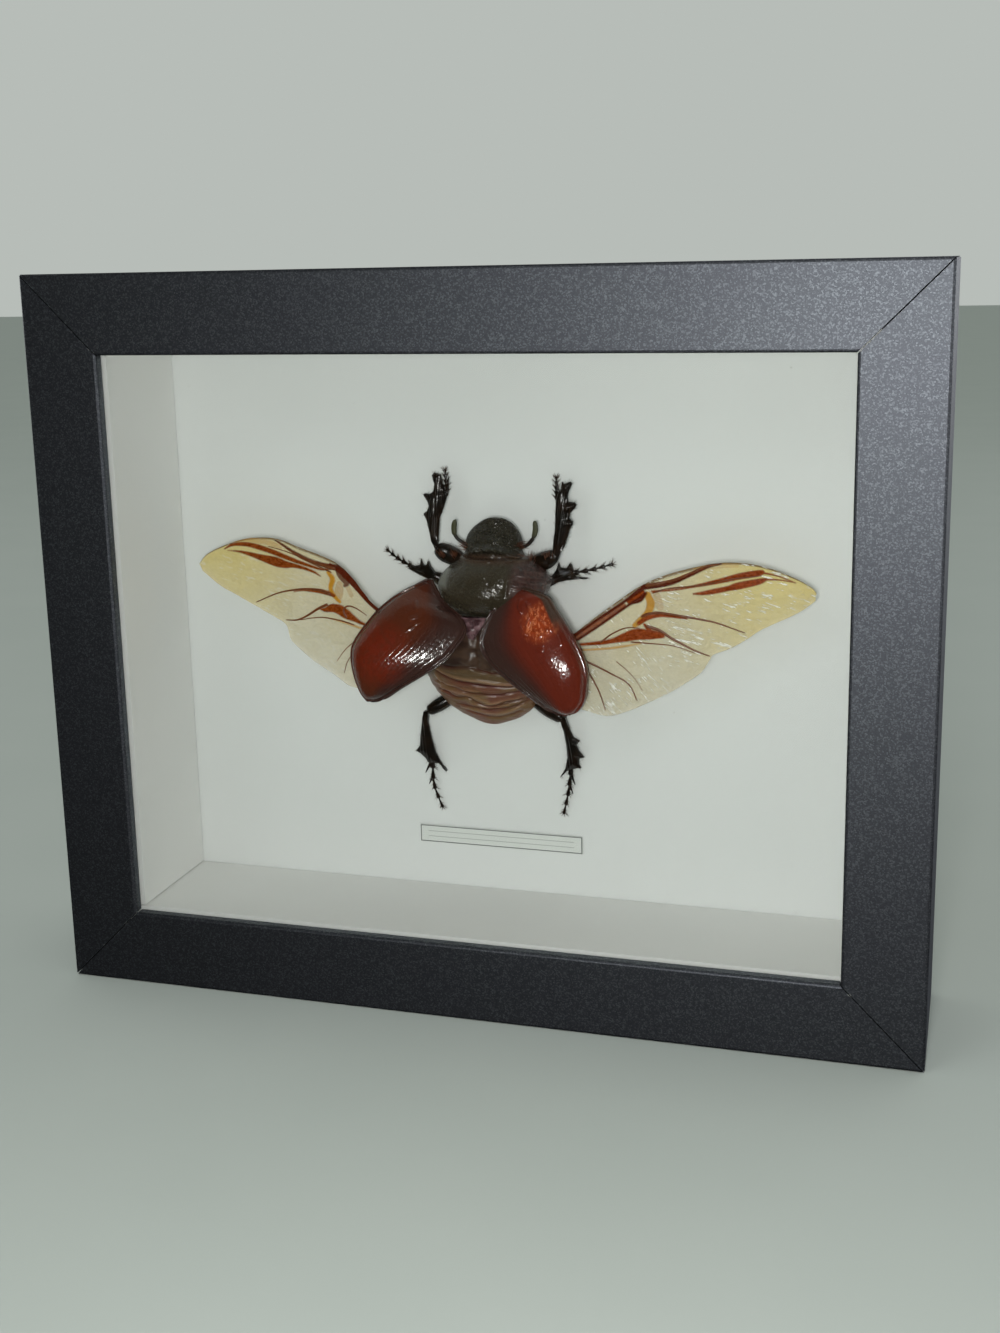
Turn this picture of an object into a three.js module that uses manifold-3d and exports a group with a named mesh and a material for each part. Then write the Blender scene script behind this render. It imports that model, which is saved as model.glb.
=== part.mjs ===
// Framed dung beetle in a deep shadow box, in millimetres.
// The origin is the centre of the back, on the wall plane. The face looks along -Y, +Z is up, +X is right.
import * as THREE from 'three';
import * as BufferGeometryUtils from 'three/addons/utils/BufferGeometryUtils.js';
import Module from 'manifold-3d';

const wasm = await Module();
wasm.setup();

// Driving dimensions of the frame
const frameWidth = 220;
const frameHeight = 183;
const frameDepth = 43;
const faceWidth = 19.5;
const lipDepth = 2.5;
const lipReach = 5;
const edgeRadius = 0.7;
const glassThickness = 1.8;
const boardThickness = 2;
const panelThickness = 2;
const gap = 0.3;

// Places worked out from them
const openingHalfX = frameWidth / 2 - faceWidth;
const openingHalfZ = frameHeight / 2 - faceWidth;
const rebateHalfX = openingHalfX + lipReach;
const rebateHalfZ = openingHalfZ + lipReach;
const glassFront = -frameDepth + lipDepth + gap;
const glassBack = glassFront + glassThickness;
const boardBack = -panelThickness - gap;
const boardFront = boardBack - boardThickness;

// The specimen: heights are measured forward from the mount board
const bodySides = 20;
const bodyWidestAt = 0.36;
const elytronThickness = 1.0;
const wingThickness = 0.5;
const limbSides = 8;
const spikeSides = 5;
const bladeThickness = 1.6;
const tarsusJoints = 5;

const finishes = {
  foil: { color: 0x17181a, roughness: 0.42, metalness: 0.0 },
  glass: { color: 0xf4fbf8, roughness: 0.02, metalness: 0.0, transparent: true, opacity: 0.2 },
  liner: { color: 0xdedfd9, roughness: 0.85, metalness: 0.0 },
  board: { color: 0xe2e4de, roughness: 0.9, metalness: 0.0 },
  hardboard: { color: 0x6d4c32, roughness: 0.8, metalness: 0.0 },
  steel: { color: 0xb3b4b2, roughness: 0.35, metalness: 1.0 },
  paper: { color: 0xeeeeea, roughness: 0.9, metalness: 0.0 },
  darkCuticle: { color: 0x1b1a15, roughness: 0.35, metalness: 0.0 },
  legCuticle: { color: 0x1c130c, roughness: 0.28, metalness: 0.0 },
  abdomenCuticle: { color: 0x56382b, roughness: 0.4, metalness: 0.0 },
  elytronCuticle: { color: 0x55190c, roughness: 0.18, metalness: 0.0 },
  membrane: { color: 0xd9cf9c, roughness: 0.35, metalness: 0.0, transparent: true, opacity: 0.6 },
};

const framed = new THREE.Group();

function addPiece(name, geometry, finish) {
  const mesh = new THREE.Mesh(geometry, new THREE.MeshStandardMaterial(finish));
  mesh.name = name;
  framed.add(mesh);
  return mesh;
}

// Solids from closed triangle meshes
function toSolid(geometry) {
  const bare = geometry.clone();
  bare.deleteAttribute('normal');
  bare.deleteAttribute('uv');
  const merged = BufferGeometryUtils.mergeVertices(bare, 1e-4);
  return new wasm.Manifold(new wasm.Mesh({
    numProp: 3,
    vertProperties: new Float32Array(merged.attributes.position.array),
    triVerts: new Uint32Array(merged.index.array),
  }));
}

function toGeometry(solid) {
  const { vertProperties, triVerts, numProp } = solid.getMesh();
  const positions = [];
  for (let i = 0; i < vertProperties.length; i += numProp) {
    positions.push(vertProperties[i], vertProperties[i + 1], vertProperties[i + 2]);
  }
  return indexed(positions, Array.from(triVerts));
}

function indexed(positions, triangles) {
  const geometry = new THREE.BufferGeometry();
  geometry.setAttribute('position', new THREE.Float32BufferAttribute(positions, 3));
  geometry.setIndex(triangles);
  geometry.computeVertexNormals();
  return geometry;
}

function fuse(geometries) {
  return geometries.map(toSolid).reduce((whole, piece) => whole.add(piece));
}

// A point of the specimen: across, up, and height in front of the mount board
function at(x, z, height) {
  return new THREE.Vector3(x, boardFront - height, z);
}

// A closed skin over rings of points that all have the same count
function skin(rings) {
  const count = rings[0].length;
  const positions = rings.flat().flatMap((p) => [p.x, p.y, p.z]);
  const triangles = [];
  for (let r = 0; r + 1 < rings.length; r += 1) {
    for (let i = 0; i < count; i += 1) {
      const a = r * count + i;
      const b = r * count + ((i + 1) % count);
      triangles.push(a, b, a + count, b, b + count, a + count);
    }
  }
  for (const [ring, first, flip] of [[rings[0], 0, true], [rings.at(-1), (rings.length - 1) * count, false]]) {
    const centre = ring.reduce((sum, p) => sum.add(p), new THREE.Vector3()).divideScalar(count);
    const hub = positions.length / 3;
    positions.push(centre.x, centre.y, centre.z);
    for (let i = 0; i < count; i += 1) {
      const a = first + i;
      const b = first + ((i + 1) % count);
      triangles.push(...(flip ? [hub, b, a] : [hub, a, b]));
    }
  }
  return facingOut(indexed(positions, triangles));
}

// Turns a closed mesh the right way round if its volume comes out negative
function facingOut(geometry) {
  const position = geometry.attributes.position;
  const index = geometry.index.array;
  const [a, b, c] = [new THREE.Vector3(), new THREE.Vector3(), new THREE.Vector3()];
  let volume = 0;
  for (let i = 0; i < index.length; i += 3) {
    a.fromBufferAttribute(position, index[i]);
    b.fromBufferAttribute(position, index[i + 1]);
    c.fromBufferAttribute(position, index[i + 2]);
    volume += a.dot(b.cross(c));
  }
  if (volume < 0) {
    for (let i = 0; i < index.length; i += 3) {
      [index[i + 1], index[i + 2]] = [index[i + 2], index[i + 1]];
    }
    geometry.computeVertexNormals();
  }
  return geometry;
}

// Frame rails: one moulding section swept along X, cut at 45 degrees at both ends
function mouldingSection() {
  const section = [];
  const arcSteps = 3;
  const corner = (cx, cy, from) => {
    for (let i = 0; i <= arcSteps; i += 1) {
      const angle = from + (i / arcSteps) * (Math.PI / 2);
      section.push(new THREE.Vector2(cx + edgeRadius * Math.cos(angle), cy + edgeRadius * Math.sin(angle)));
    }
  };
  corner(edgeRadius, -frameDepth + edgeRadius, Math.PI);
  corner(faceWidth - edgeRadius, -frameDepth + edgeRadius, -Math.PI / 2);
  section.push(new THREE.Vector2(faceWidth, -frameDepth + lipDepth));
  section.push(new THREE.Vector2(faceWidth - lipReach, -frameDepth + lipDepth));
  section.push(new THREE.Vector2(faceWidth - lipReach, 0));
  section.push(new THREE.Vector2(0, 0));
  return section;
}

function railGeometry(length, span) {
  const section = mouldingSection();
  const mitreCut = (gap / 2) * Math.SQRT2;
  const positions = [];
  for (const side of [-1, 1]) {
    for (const p of section) {
      positions.push(side * (length / 2 - p.x - mitreCut), p.y, span / 2 - p.x);
    }
  }
  const count = section.length;
  const triangles = [];
  for (let i = 0; i < count; i += 1) {
    const j = (i + 1) % count;
    triangles.push(i, j, i + count, j, j + count, i + count);
  }
  for (const [a, b, c] of THREE.ShapeUtils.triangulateShape(section, [])) {
    triangles.push(c, b, a, a + count, b + count, c + count);
  }
  return facingOut(indexed(positions, triangles));
}

const hangerLength = 40;
const hangerHeight = 9;
const hangerThickness = 0.8;
const hangerToothCount = 13;
const pocketDepth = 3;
const pocketMargin = 3;
const hangerZ = frameHeight / 2 - (faceWidth - lipReach) / 2;

function box(sizeX, sizeY, sizeZ, x, y, z) {
  return new THREE.BoxGeometry(sizeX, sizeY, sizeZ).translate(x, y, z);
}

function addRails() {
  const horizontal = railGeometry(frameWidth, frameHeight);
  const vertical = railGeometry(frameHeight, frameWidth);
  const pocket = box(hangerLength + 2 * pocketMargin, 2 * pocketDepth, hangerHeight + 1.5, 0, 0, hangerZ);
  const top = toSolid(horizontal).subtract(toSolid(pocket));
  addPiece('frame_rail_top', toGeometry(top), finishes.foil);
  addPiece('frame_rail_bottom', horizontal, finishes.foil).rotation.y = Math.PI;
  addPiece('frame_rail_right', vertical, finishes.foil).rotation.y = Math.PI / 2;
  addPiece('frame_rail_left', vertical, finishes.foil).rotation.y = -Math.PI / 2;
}

// The hanger is a plate with a toothed lower edge, lying on the floor of the pocket
function addHanger() {
  const outline = new THREE.Shape();
  const half = hangerLength / 2;
  const pitch = (hangerLength - 8) / hangerToothCount;
  outline.moveTo(-half, hangerHeight / 2);
  outline.lineTo(-half, -hangerHeight / 2);
  for (let i = 0; i < hangerToothCount; i += 1) {
    const x = -half + 4 + i * pitch;
    outline.lineTo(x, -hangerHeight / 2);
    outline.lineTo(x + pitch / 2, -hangerHeight / 2 + 1.4);
  }
  outline.lineTo(half - 4, -hangerHeight / 2);
  outline.lineTo(half, -hangerHeight / 2);
  outline.lineTo(half, hangerHeight / 2);
  const plate = new THREE.ExtrudeGeometry(outline, { depth: hangerThickness, bevelEnabled: false });
  plate.rotateX(Math.PI / 2);
  const raised = -pocketDepth + gap + hangerThickness;
  addPiece('hanger_plate', plate.translate(0, raised, hangerZ), finishes.steel);
}

function addPanes() {
  const sheetX = 2 * (rebateHalfX - gap);
  const sheetZ = 2 * (rebateHalfZ - gap);
  const pane = (front, back) => box(sheetX, back - front, sheetZ, 0, (front + back) / 2, 0);
  addPiece('glass_pane', pane(glassFront, glassBack), finishes.glass);
  addPiece('mount_board', pane(boardFront, boardBack), finishes.board);
  addPiece('back_panel', pane(-panelThickness, 0), finishes.hardboard);
}

// White strips that line the box between the glass and the mount board
function addLiners() {
  const front = glassBack + gap;
  const back = boardFront - gap;
  const thickness = lipReach - gap;
  const depth = back - front;
  const y = (front + back) / 2;
  const width = 2 * (rebateHalfX - gap);
  const height = 2 * (openingHalfZ - gap);
  for (const [name, side] of [['liner_top', 1], ['liner_bottom', -1]]) {
    addPiece(name, box(width, depth, thickness, 0, y, side * (openingHalfZ + thickness / 2)), finishes.liner);
  }
  for (const [name, side] of [['liner_right', 1], ['liner_left', -1]]) {
    addPiece(name, box(thickness, depth, height, side * (openingHalfX + thickness / 2), y, 0), finishes.liner);
  }
}

const labelWidth = 45;
const labelHeight = 4.8;
const labelThickness = 0.3;

function addLabel() {
  const y = boardFront - gap - labelThickness / 2;
  addPiece('label_slip', box(labelWidth, labelThickness, labelHeight, -2.2, y, -57.8), finishes.paper);
}

// Trunk pieces: arched sections across the body, each given as
// up, centre across, half width, lowest and highest height
function trunk(sections, grow = 0) {
  const rings = sections.map(([z, x, halfWidth, low, high], i) => {
    const end = i === 0 ? Math.sign(z - sections[1][0]) : 0;
    const tail = i === sections.length - 1 ? Math.sign(z - sections.at(-2)[0]) : 0;
    const widest = low + bodyWidestAt * (high - low);
    return Array.from({ length: bodySides }, (_, k) => {
      const angle = (k / bodySides) * 2 * Math.PI;
      const reach = Math.sin(angle) > 0 ? high - widest : widest - low;
      return at(
        x + (halfWidth + grow) * Math.cos(angle),
        z + grow * (end + tail),
        widest + (reach + grow) * Math.sin(angle),
      );
    });
  });
  return skin(rings);
}

const headSections = [
  [21.0, 0.2, 6.6, 5.5, 13.2],
  [22.5, 0.1, 7.2, 5.0, 13.3],
  [24.5, 0.1, 7.2, 5.2, 12.6],
  [26.5, 0.3, 6.3, 6.0, 11.2],
  [28.3, 0.5, 4.6, 6.8, 9.8],
  [29.4, 0.6, 2.9, 7.3, 8.9],
  [29.9, 0.6, 1.3, 7.7, 8.5],
];
const pronotumSections = [
  [5.3, -2.8, 4.5, 7.0, 13.0],
  [6.2, -1.8, 8.2, 5.5, 15.4],
  [8.2, -0.9, 11.6, 4.4, 17.6],
  [11.0, 0.0, 13.8, 3.6, 19.4],
  [14.0, 0.5, 14.4, 3.4, 20.0],
  [16.8, 0.8, 13.0, 3.8, 18.8],
  [19.0, 0.8, 10.0, 4.6, 16.4],
  [20.6, 0.6, 7.6, 5.6, 14.0],
];
const hindBodySections = [
  [4.7, -0.5, 10.5, 1.6, 13.6],
  [2.5, -0.4, 13.6, 0.8, 15.2],
  [-1.5, -1.4, 15.2, 0.4, 16.0],
  [-6.0, -2.6, 15.8, 0.4, 15.6],
  [-10.0, -3.6, 15.9, 0.4, 14.4],
  [-13.5, -3.9, 15.1, 0.4, 12.8],
  [-17.2, -3.5, 13.2, 0.6, 10.8],
  [-20.2, -2.8, 11.3, 1.2, 8.8],
  [-22.7, -2.4, 7.6, 2.2, 6.8],
  [-24.6, -2.6, 2.8, 3.2, 5.2],
];

// The abdomen steps down a little at the end of each segment behind the thorax
const segmentCount = 6;
const segmentStart = -9;
const segmentEnd = -22.4;
const segmentStep = 0.35;

function smoothSections(sections, zStart, zEnd, count) {
  const rows = sections.map((s) => [...s]);
  const curve = (column) => (z) => {
    const i = Math.max(1, rows.findIndex((row) => row[0] <= z));
    const [upper, lower] = [rows[i - 1], rows[i]];
    const t = (upper[0] - z) / (upper[0] - lower[0]);
    return upper[column] + t * (lower[column] - upper[column]);
  };
  const columns = [1, 2, 3, 4].map(curve);
  return Array.from({ length: count }, (_, i) => {
    const z = zStart + (i / (count - 1)) * (zEnd - zStart);
    return [z, ...columns.map((read) => read(z))];
  });
}

function segmentedHindBody() {
  const thorax = hindBodySections.filter(([z]) => z > segmentStart);
  const tail = hindBodySections.filter(([z]) => z < segmentEnd);
  const joints = smoothSections(hindBodySections, segmentStart, segmentEnd, segmentCount + 1);
  const stepped = joints.flatMap(([z, x, halfWidth, low, high]) => [
    [z + 0.35, x, halfWidth, low, high],
    [z, x, halfWidth - segmentStep, low, high - segmentStep],
  ]);
  return [...thorax, ...stepped, ...tail];
}

function addTrunk() {
  const crest = [[-2.6, 22.4, 13.0], [0.4, 22.8, 13.4], [3.2, 22.6, 12.9]].map(([x, z, height]) => {
    const bump = new THREE.SphereGeometry(1, 8, 6).scale(1.4, 1.0, 0.9);
    const place = at(x, z, height);
    return bump.translate(place.x, place.y, place.z);
  });
  addPiece('head', toGeometry(fuse([trunk(headSections), ...crest])), finishes.darkCuticle);
  addPiece('pronotum', trunk(pronotumSections), finishes.darkCuticle);
  addPiece('hind_body', trunk(segmentedHindBody()), finishes.abdomenCuticle);
}

// The scutellum is a small three-cornered shield between the wing-case bases
function addScutellum() {
  const shield = new THREE.Shape();
  shield.moveTo(-7.0, 4.8);
  shield.lineTo(0.8, 5.0);
  shield.quadraticCurveTo(-1.6, 2.6, -3.6, 0.4);
  shield.quadraticCurveTo(-5.4, 2.4, -7.0, 4.8);
  const plate = new THREE.ExtrudeGeometry(shield, { depth: 0.9, bevelEnabled: false, curveSegments: 5 });
  plate.rotateX(Math.PI / 2);
  addPiece('scutellum', plate.translate(0, boardFront - 16.4, 0), finishes.abdomenCuticle);
}

// Thin domed sheets between two edges: from base to tip along both edges, from edge to edge across
function spacedEdge(points, steps) {
  const curve = new THREE.CatmullRomCurve3(points.map(([x, z]) => new THREE.Vector3(x, 0, z)), false, 'centripetal');
  return curve.getSpacedPoints(steps);
}

function sheet({ outer, inner, along, across, thickness, height }) {
  const outerEdge = spacedEdge(outer, along);
  const innerEdge = spacedEdge(inner, along);
  const columns = across + 1;
  const layer = (offset) => outerEdge.flatMap((from, i) => Array.from({ length: columns }, (_, j) => {
    const p = new THREE.Vector3().lerpVectors(from, innerEdge[i], j / across);
    const place = at(p.x, p.z, height(i / along, j / across) + offset);
    return [place.x, place.y, place.z];
  })).flat();
  const positions = [...layer(thickness / 2), ...layer(-thickness / 2)];
  const lower = (along + 1) * columns;
  const triangles = [];
  for (let i = 0; i < along; i += 1) {
    for (let j = 0; j < across; j += 1) {
      const a = i * columns + j;
      const [b, c, d] = [a + 1, a + columns + 1, a + columns];
      triangles.push(a, b, c, a, c, d);
      triangles.push(lower + a, lower + c, lower + b, lower + a, lower + d, lower + c);
    }
  }
  const border = [];
  for (let j = 0; j < across; j += 1) border.push(j);
  for (let i = 0; i < along; i += 1) border.push(i * columns + across);
  for (let j = across; j > 0; j -= 1) border.push(along * columns + j);
  for (let i = along; i > 0; i -= 1) border.push(i * columns);
  border.forEach((a, k) => {
    const b = border[(k + 1) % border.length];
    triangles.push(a, lower + a, lower + b, a, lower + b, b);
  });
  return facingOut(indexed(positions, triangles));
}

// Wing cases: a domed shell, highest between its edges and flatter towards the ends
const elytronDome = 5;

function elytron(outer, inner, baseHeight, tipHeight) {
  const height = (u, v) => {
    const lengthwise = Math.sin(Math.PI * Math.min(0.97, Math.max(0.03, u))) ** 0.6;
    return baseHeight + (tipHeight - baseHeight) * u + elytronDome * lengthwise * Math.sin(Math.PI * v) ** 0.8;
  };
  return sheet({ outer, inner, along: 14, across: 10, thickness: elytronThickness, height });
}

function addWingCases() {
  const leftOuter = [[-13.9, 16.0], [-21.1, 12.6], [-26.7, 8.5], [-31.0, 3.8], [-34.5, -1.1], [-35.2, -5.1],
    [-34.6, -9.9], [-33.1, -14.1], [-31.3, -16.3]];
  const leftInner = [[-12.9, 15.8], [-11.4, 13.0], [-8.8, 9.0], [-5.7, 6.5], [-4.2, 3.0], [-6.7, -1.1],
    [-10.9, -5.5], [-20.6, -11.8], [-26.2, -15.4], [-29.8, -16.5]];
  const rightOuter = [[9.7, 14.6], [16.6, 13.1], [19.2, 9.8], [22.8, 4.2], [25.4, -0.8], [26.8, -5.1],
    [26.7, -9.4], [26.1, -12.9], [24.3, -15.9], [21.4, -17.0]];
  const rightInner = [[7.6, 13.4], [4.3, 10.4], [1.3, 6.8], [-0.6, 2.6], [-1.0, -0.3], [0.4, -3.8],
    [4.8, -8.3], [13.0, -14.3], [17.1, -16.4], [20.0, -17.1]];
  addPiece('elytron_left', elytron(leftOuter, leftInner, 19.0, 18.0), finishes.elytronCuticle);
  addPiece('elytron_right', elytron(rightOuter, rightInner, 19.6, 18.0), finishes.elytronCuticle);
}

// Flight wings: thin sheets from the thorax side to the tip, arched a little across
const wingHeight = 13;
const wingArch = 1.2;

function flightWing(outer, inner) {
  const height = (u, v) => wingHeight + wingArch * Math.sin(Math.PI * u) * (1 - v);
  return sheet({ outer, inner, along: 22, across: 6, thickness: wingThickness, height });
}

function addFlightWings() {
  const leftOuter = [[-17.4, -1.0], [-23.0, 2.6], [-30.2, 7.6], [-35.6, 13.9], [-40.1, 18.2], [-50.4, 21.8],
    [-59.7, 24.0], [-65.3, 23.7], [-71.4, 21.8], [-76.8, 19.2], [-79.4, 16.5]];
  const leftInner = [[-19.6, -11.0], [-28.0, -14.8], [-37.3, -14.7], [-42.6, -11.6], [-48.3, -8.1], [-54.0, -3.1],
    [-56.2, 1.7], [-64.7, 6.2], [-73.7, 10.7], [-78.6, 14.6]];
  const rightOuter = [[15.6, -2.4], [21.4, 2.0], [27.3, 6.7], [33.6, 11.5], [38.5, 15.0], [45.0, 18.1],
    [52.0, 20.0], [61.0, 21.5], [70.7, 20.0], [76.2, 17.9], [80.6, 14.8]];
  const rightInner = [[13.6, -11.0], [19.0, -15.6], [30.3, -18.3], [36.2, -16.4], [46.0, -11.3], [52.6, -6.8],
    [55.6, -2.0], [60.7, 0.5], [68.0, 5.4], [76.3, 9.7], [80.4, 12.8]];
  addPiece('hindwing_left', flightWing(leftOuter, leftInner), finishes.membrane);
  addPiece('hindwing_right', flightWing(rightOuter, rightInner), finishes.membrane);
}

// Limbs: tapered tubes with an oval section, given as across, up, height, half width, half thickness
function limb(stations) {
  const centres = stations.map(([x, z, height]) => at(x, z, height));
  const rings = stations.map(([, , , halfWidth, halfThickness], i) => {
    const ahead = centres[Math.min(i + 1, centres.length - 1)];
    const behind = centres[Math.max(i - 1, 0)];
    const along = new THREE.Vector3().subVectors(ahead, behind).normalize();
    const sideways = new THREE.Vector3().crossVectors(along, new THREE.Vector3(0, 1, 0)).normalize();
    const forward = new THREE.Vector3().crossVectors(sideways, along).normalize();
    return Array.from({ length: limbSides }, (_, k) => {
      const angle = (k / limbSides) * 2 * Math.PI;
      return centres[i].clone()
        .addScaledVector(sideways, halfWidth * Math.cos(angle))
        .addScaledVector(forward, halfThickness * Math.sin(angle));
    });
  });
  return skin(rings);
}

function spike([x1, z1, x2, z2, height, radius]) {
  const from = at(x1, z1, height);
  const to = at(x2, z2, height);
  const length = from.distanceTo(to);
  const cone = new THREE.ConeGeometry(radius, length, spikeSides).translate(0, length / 2, 0);
  const turn = new THREE.Quaternion().setFromUnitVectors(new THREE.Vector3(0, 1, 0), to.clone().sub(from).normalize());
  return cone.applyQuaternion(turn).translate(from.x, from.y, from.z);
}

// A tibia is a flat toothed blade: its outline is drawn from the knee, as along and across the leg
function blade({ knee, ankle, heights, outline }) {
  const along = new THREE.Vector2(ankle[0] - knee[0], ankle[1] - knee[1]);
  const length = along.length();
  along.normalize();
  const shape = new THREE.Shape(outline.map(([a, c]) => new THREE.Vector2(a, c)));
  const plate = new THREE.ExtrudeGeometry(shape, { depth: bladeThickness, bevelEnabled: false });
  const position = plate.attributes.position;
  for (let i = 0; i < position.count; i += 1) {
    const [a, c, d] = [position.getX(i), position.getY(i), position.getZ(i)];
    const middle = heights[0] + (heights[1] - heights[0]) * (a / length);
    const place = at(
      knee[0] + a * along.x - c * along.y,
      knee[1] + a * along.y + c * along.x,
      middle + d - bladeThickness / 2,
    );
    position.setXYZ(i, place.x, place.y, place.z);
  }
  return facingOut(indexed(Array.from(position.array), [...Array(position.count).keys()]));
}

// A tarsus is five short joints, each wider at its far end
function tarsus(path) {
  const curve = new THREE.CatmullRomCurve3(path.map((p) => new THREE.Vector3(...p)));
  const stations = [];
  for (let i = 0; i < tarsusJoints; i += 1) {
    const shrink = 1 - (0.5 * i) / tarsusJoints;
    const near = curve.getPointAt((i + 0.02) / tarsusJoints).toArray();
    const far = curve.getPointAt((i + 0.9) / tarsusJoints).toArray();
    stations.push([...near, 0.4 * shrink, 0.35 * shrink], [...far, 0.75 * shrink, 0.5 * shrink]);
  }
  return limb([...stations, [...path.at(-1), 0.2, 0.2]]);
}

// Legs: the femur as limb stations, the tibia as a blade, the tarsus as a path and the spurs as spikes
const legs = {
  foreleg_left: {
    femur: [[-7.6, 16.8, 4.4, 1.5, 1.3], [-11.2, 19.1, 5.6, 2.3, 1.9], [-13.6, 20.5, 6.6, 2.4, 2.0],
      [-15.2, 22.0, 7.4, 1.5, 1.3]],
    knee: [-15.3, 21.9],
    ankle: [-15.0, 39.8],
    heights: [7.4, 6.0],
    outline: [[-0.5, 0.3], [1.5, 1.4], [4.2, 2.2], [6.7, 2.8], [8.3, 3.7], [9.1, 2.7], [10.3, 2.3], [11.5, 2.7],
      [13.1, 3.8], [13.5, 3.4], [13.3, 2.1], [14.1, 1.1], [15.9, 0.9], [18.1, 1.6], [18.8, 0.9], [18.4, -0.8],
      [16.7, -1.2], [14.5, -1.8], [13.5, -2.6], [11.7, -2.2], [10.0, -1.7], [7.4, -0.7], [4.3, -0.5], [1.5, -0.4]],
    tarsus: [[-13.0, 35.0, 6.0], [-13.0, 38.3, 5.6], [-13.5, 41.5, 5.0]],
    spikes: [[-12.7, 34.6, -12.1, 40.2, 6.0, 0.5]],
  },
  foreleg_right: {
    femur: [[6.8, 16.4, 4.4, 1.5, 1.3], [9.8, 17.9, 5.6, 2.1, 1.8], [13.2, 19.3, 6.6, 2.3, 2.0],
      [15.8, 20.8, 7.4, 1.5, 1.3]],
    knee: [15.9, 20.5],
    ankle: [18.6, 38.7],
    heights: [7.4, 6.0],
    outline: [[-0.6, 0.6], [3.6, 1.2], [6.3, 1.2], [10.0, 1.7], [13.7, 2.1], [15.5, 1.9], [16.6, 1.3], [18.6, 1.3],
      [18.1, 0.7], [18.9, -0.9], [18.4, -1.4], [16.7, -0.9], [15.2, -0.7], [13.9, -1.1], [14.0, -2.7], [13.5, -3.3],
      [12.6, -3.0], [11.2, -2.0], [9.9, -2.0], [9.2, -3.0], [8.5, -3.1], [7.2, -2.5], [5.2, -2.3], [2.9, -1.9],
      [1.0, -1.1], [-0.9, -0.8]],
    tarsus: [[16.0, 34.2, 6.0], [15.7, 37.3, 5.6], [15.6, 40.1, 5.0]],
    spikes: [[16.3, 34.6, 16.2, 39.1, 6.0, 0.5]],
  },
  midleg_left: {
    femur: [[-9.6, 9.6, 2.2, 1.4, 1.2], [-12.4, 11.2, 2.8, 1.9, 1.5], [-15.2, 12.6, 3.8, 1.8, 1.5],
      [-17.6, 14.1, 4.8, 1.1, 1.0]],
    knee: [-17.5, 14.1],
    ankle: [-23.5, 16.0],
    heights: [4.9, 3.8],
    outline: [[-0.6, -0.7], [1.4, -2.0], [2.3, -3.1], [2.4, -1.9], [3.3, -1.6], [4.4, -2.9], [4.2, -1.2], [5.6, -0.4],
      [6.8, -0.4], [7.0, 1.0], [5.1, 1.2], [3.2, 1.4], [0.8, 1.2], [-0.6, 0.6]],
    tarsus: [[-22.8, 15.6, 3.8], [-27.5, 17.5, 2.6], [-31.3, 19.8, 1.4]],
    spikes: [],
  },
  midleg_right: {
    femur: [[5.0, 9.0, 2.2, 1.4, 1.2], [7.4, 10.2, 2.8, 1.9, 1.5], [10.4, 11.6, 3.8, 1.8, 1.5],
      [13.2, 12.9, 4.8, 1.1, 1.0]],
    knee: [13.1, 12.8],
    ankle: [19.3, 15.9],
    heights: [4.9, 3.8],
    outline: [[-0.3, 0.6], [1.5, 1.3], [3.4, 2.3], [5.0, 3.9], [4.7, 2.5], [5.9, 1.6], [7.3, 2.4], [7.6, 1.8],
      [7.3, 0.1], [6.7, -1.0], [10.1, -3.3], [6.6, -1.9], [4.7, -1.2], [2.7, -0.7], [-0.3, -0.8]],
    tarsus: [[18.6, 15.5, 3.8], [24.0, 16.5, 2.6], [29.2, 17.9, 1.4]],
    spikes: [],
  },
  hindleg_left: {
    femur: [[-11.4, -17.4, 1.6, 1.3, 1.0], [-14.6, -19.2, 2.6, 1.7, 1.4], [-17.4, -20.9, 3.6, 1.8, 1.5],
      [-20.3, -22.5, 4.6, 1.3, 1.1]],
    knee: [-20.4, -22.7],
    ankle: [-19.8, -36.7],
    heights: [4.6, 2.6],
    outline: [[-0.4, -0.7], [2.9, -1.7], [6.6, -2.6], [9.5, -3.1], [11.1, -4.4], [11.8, -3.2], [13.2, -1.9],
      [14.4, -1.4], [14.6, 0.2], [14.6, 1.6], [17.1, 3.8], [14.1, 2.2], [11.4, 1.1], [7.4, 0.5], [2.8, 0.1],
      [-0.4, 0.6]],
    tarsus: [[-19.9, -35.8, 2.7], [-20.0, -43.4, 1.8], [-18.0, -50.1, 1.0]],
    spikes: [[-20.6, -37.2, -22.2, -40.4, 2.4, 0.5], [-20.2, -41.0, -21.4, -43.6, 2.0, 0.4]],
  },
  hindleg_right: {
    femur: [[6.4, -17.4, 1.6, 1.3, 1.0], [9.3, -18.9, 2.6, 1.8, 1.4], [12.7, -20.5, 3.6, 2.0, 1.6],
      [16.2, -22.4, 4.6, 1.3, 1.1]],
    knee: [16.5, -22.4],
    ankle: [18.2, -35.7],
    heights: [4.6, 2.6],
    outline: [[-0.4, -0.7], [3.9, -0.4], [7.2, -0.4], [10.6, -0.7], [13.6, -1.8], [16.2, -3.7], [14.2, -1.2],
      [14.0, 0.2], [13.8, 1.3], [13.9, 2.5], [12.8, 2.1], [11.1, 2.4], [10.9, 3.8], [8.9, 2.7], [7.3, 2.3],
      [6.2, 3.4], [5.2, 2.0], [3.5, 1.5], [0.9, 1.0], [-0.6, 0.8]],
    tarsus: [[18.1, -35.0, 2.7], [17.0, -42.6, 1.8], [15.4, -49.3, 1.0]],
    spikes: [[17.9, -37.6, 19.0, -40.8, 2.4, 0.5], [17.4, -40.8, 18.3, -43.4, 2.0, 0.4]],
  },
};

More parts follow.
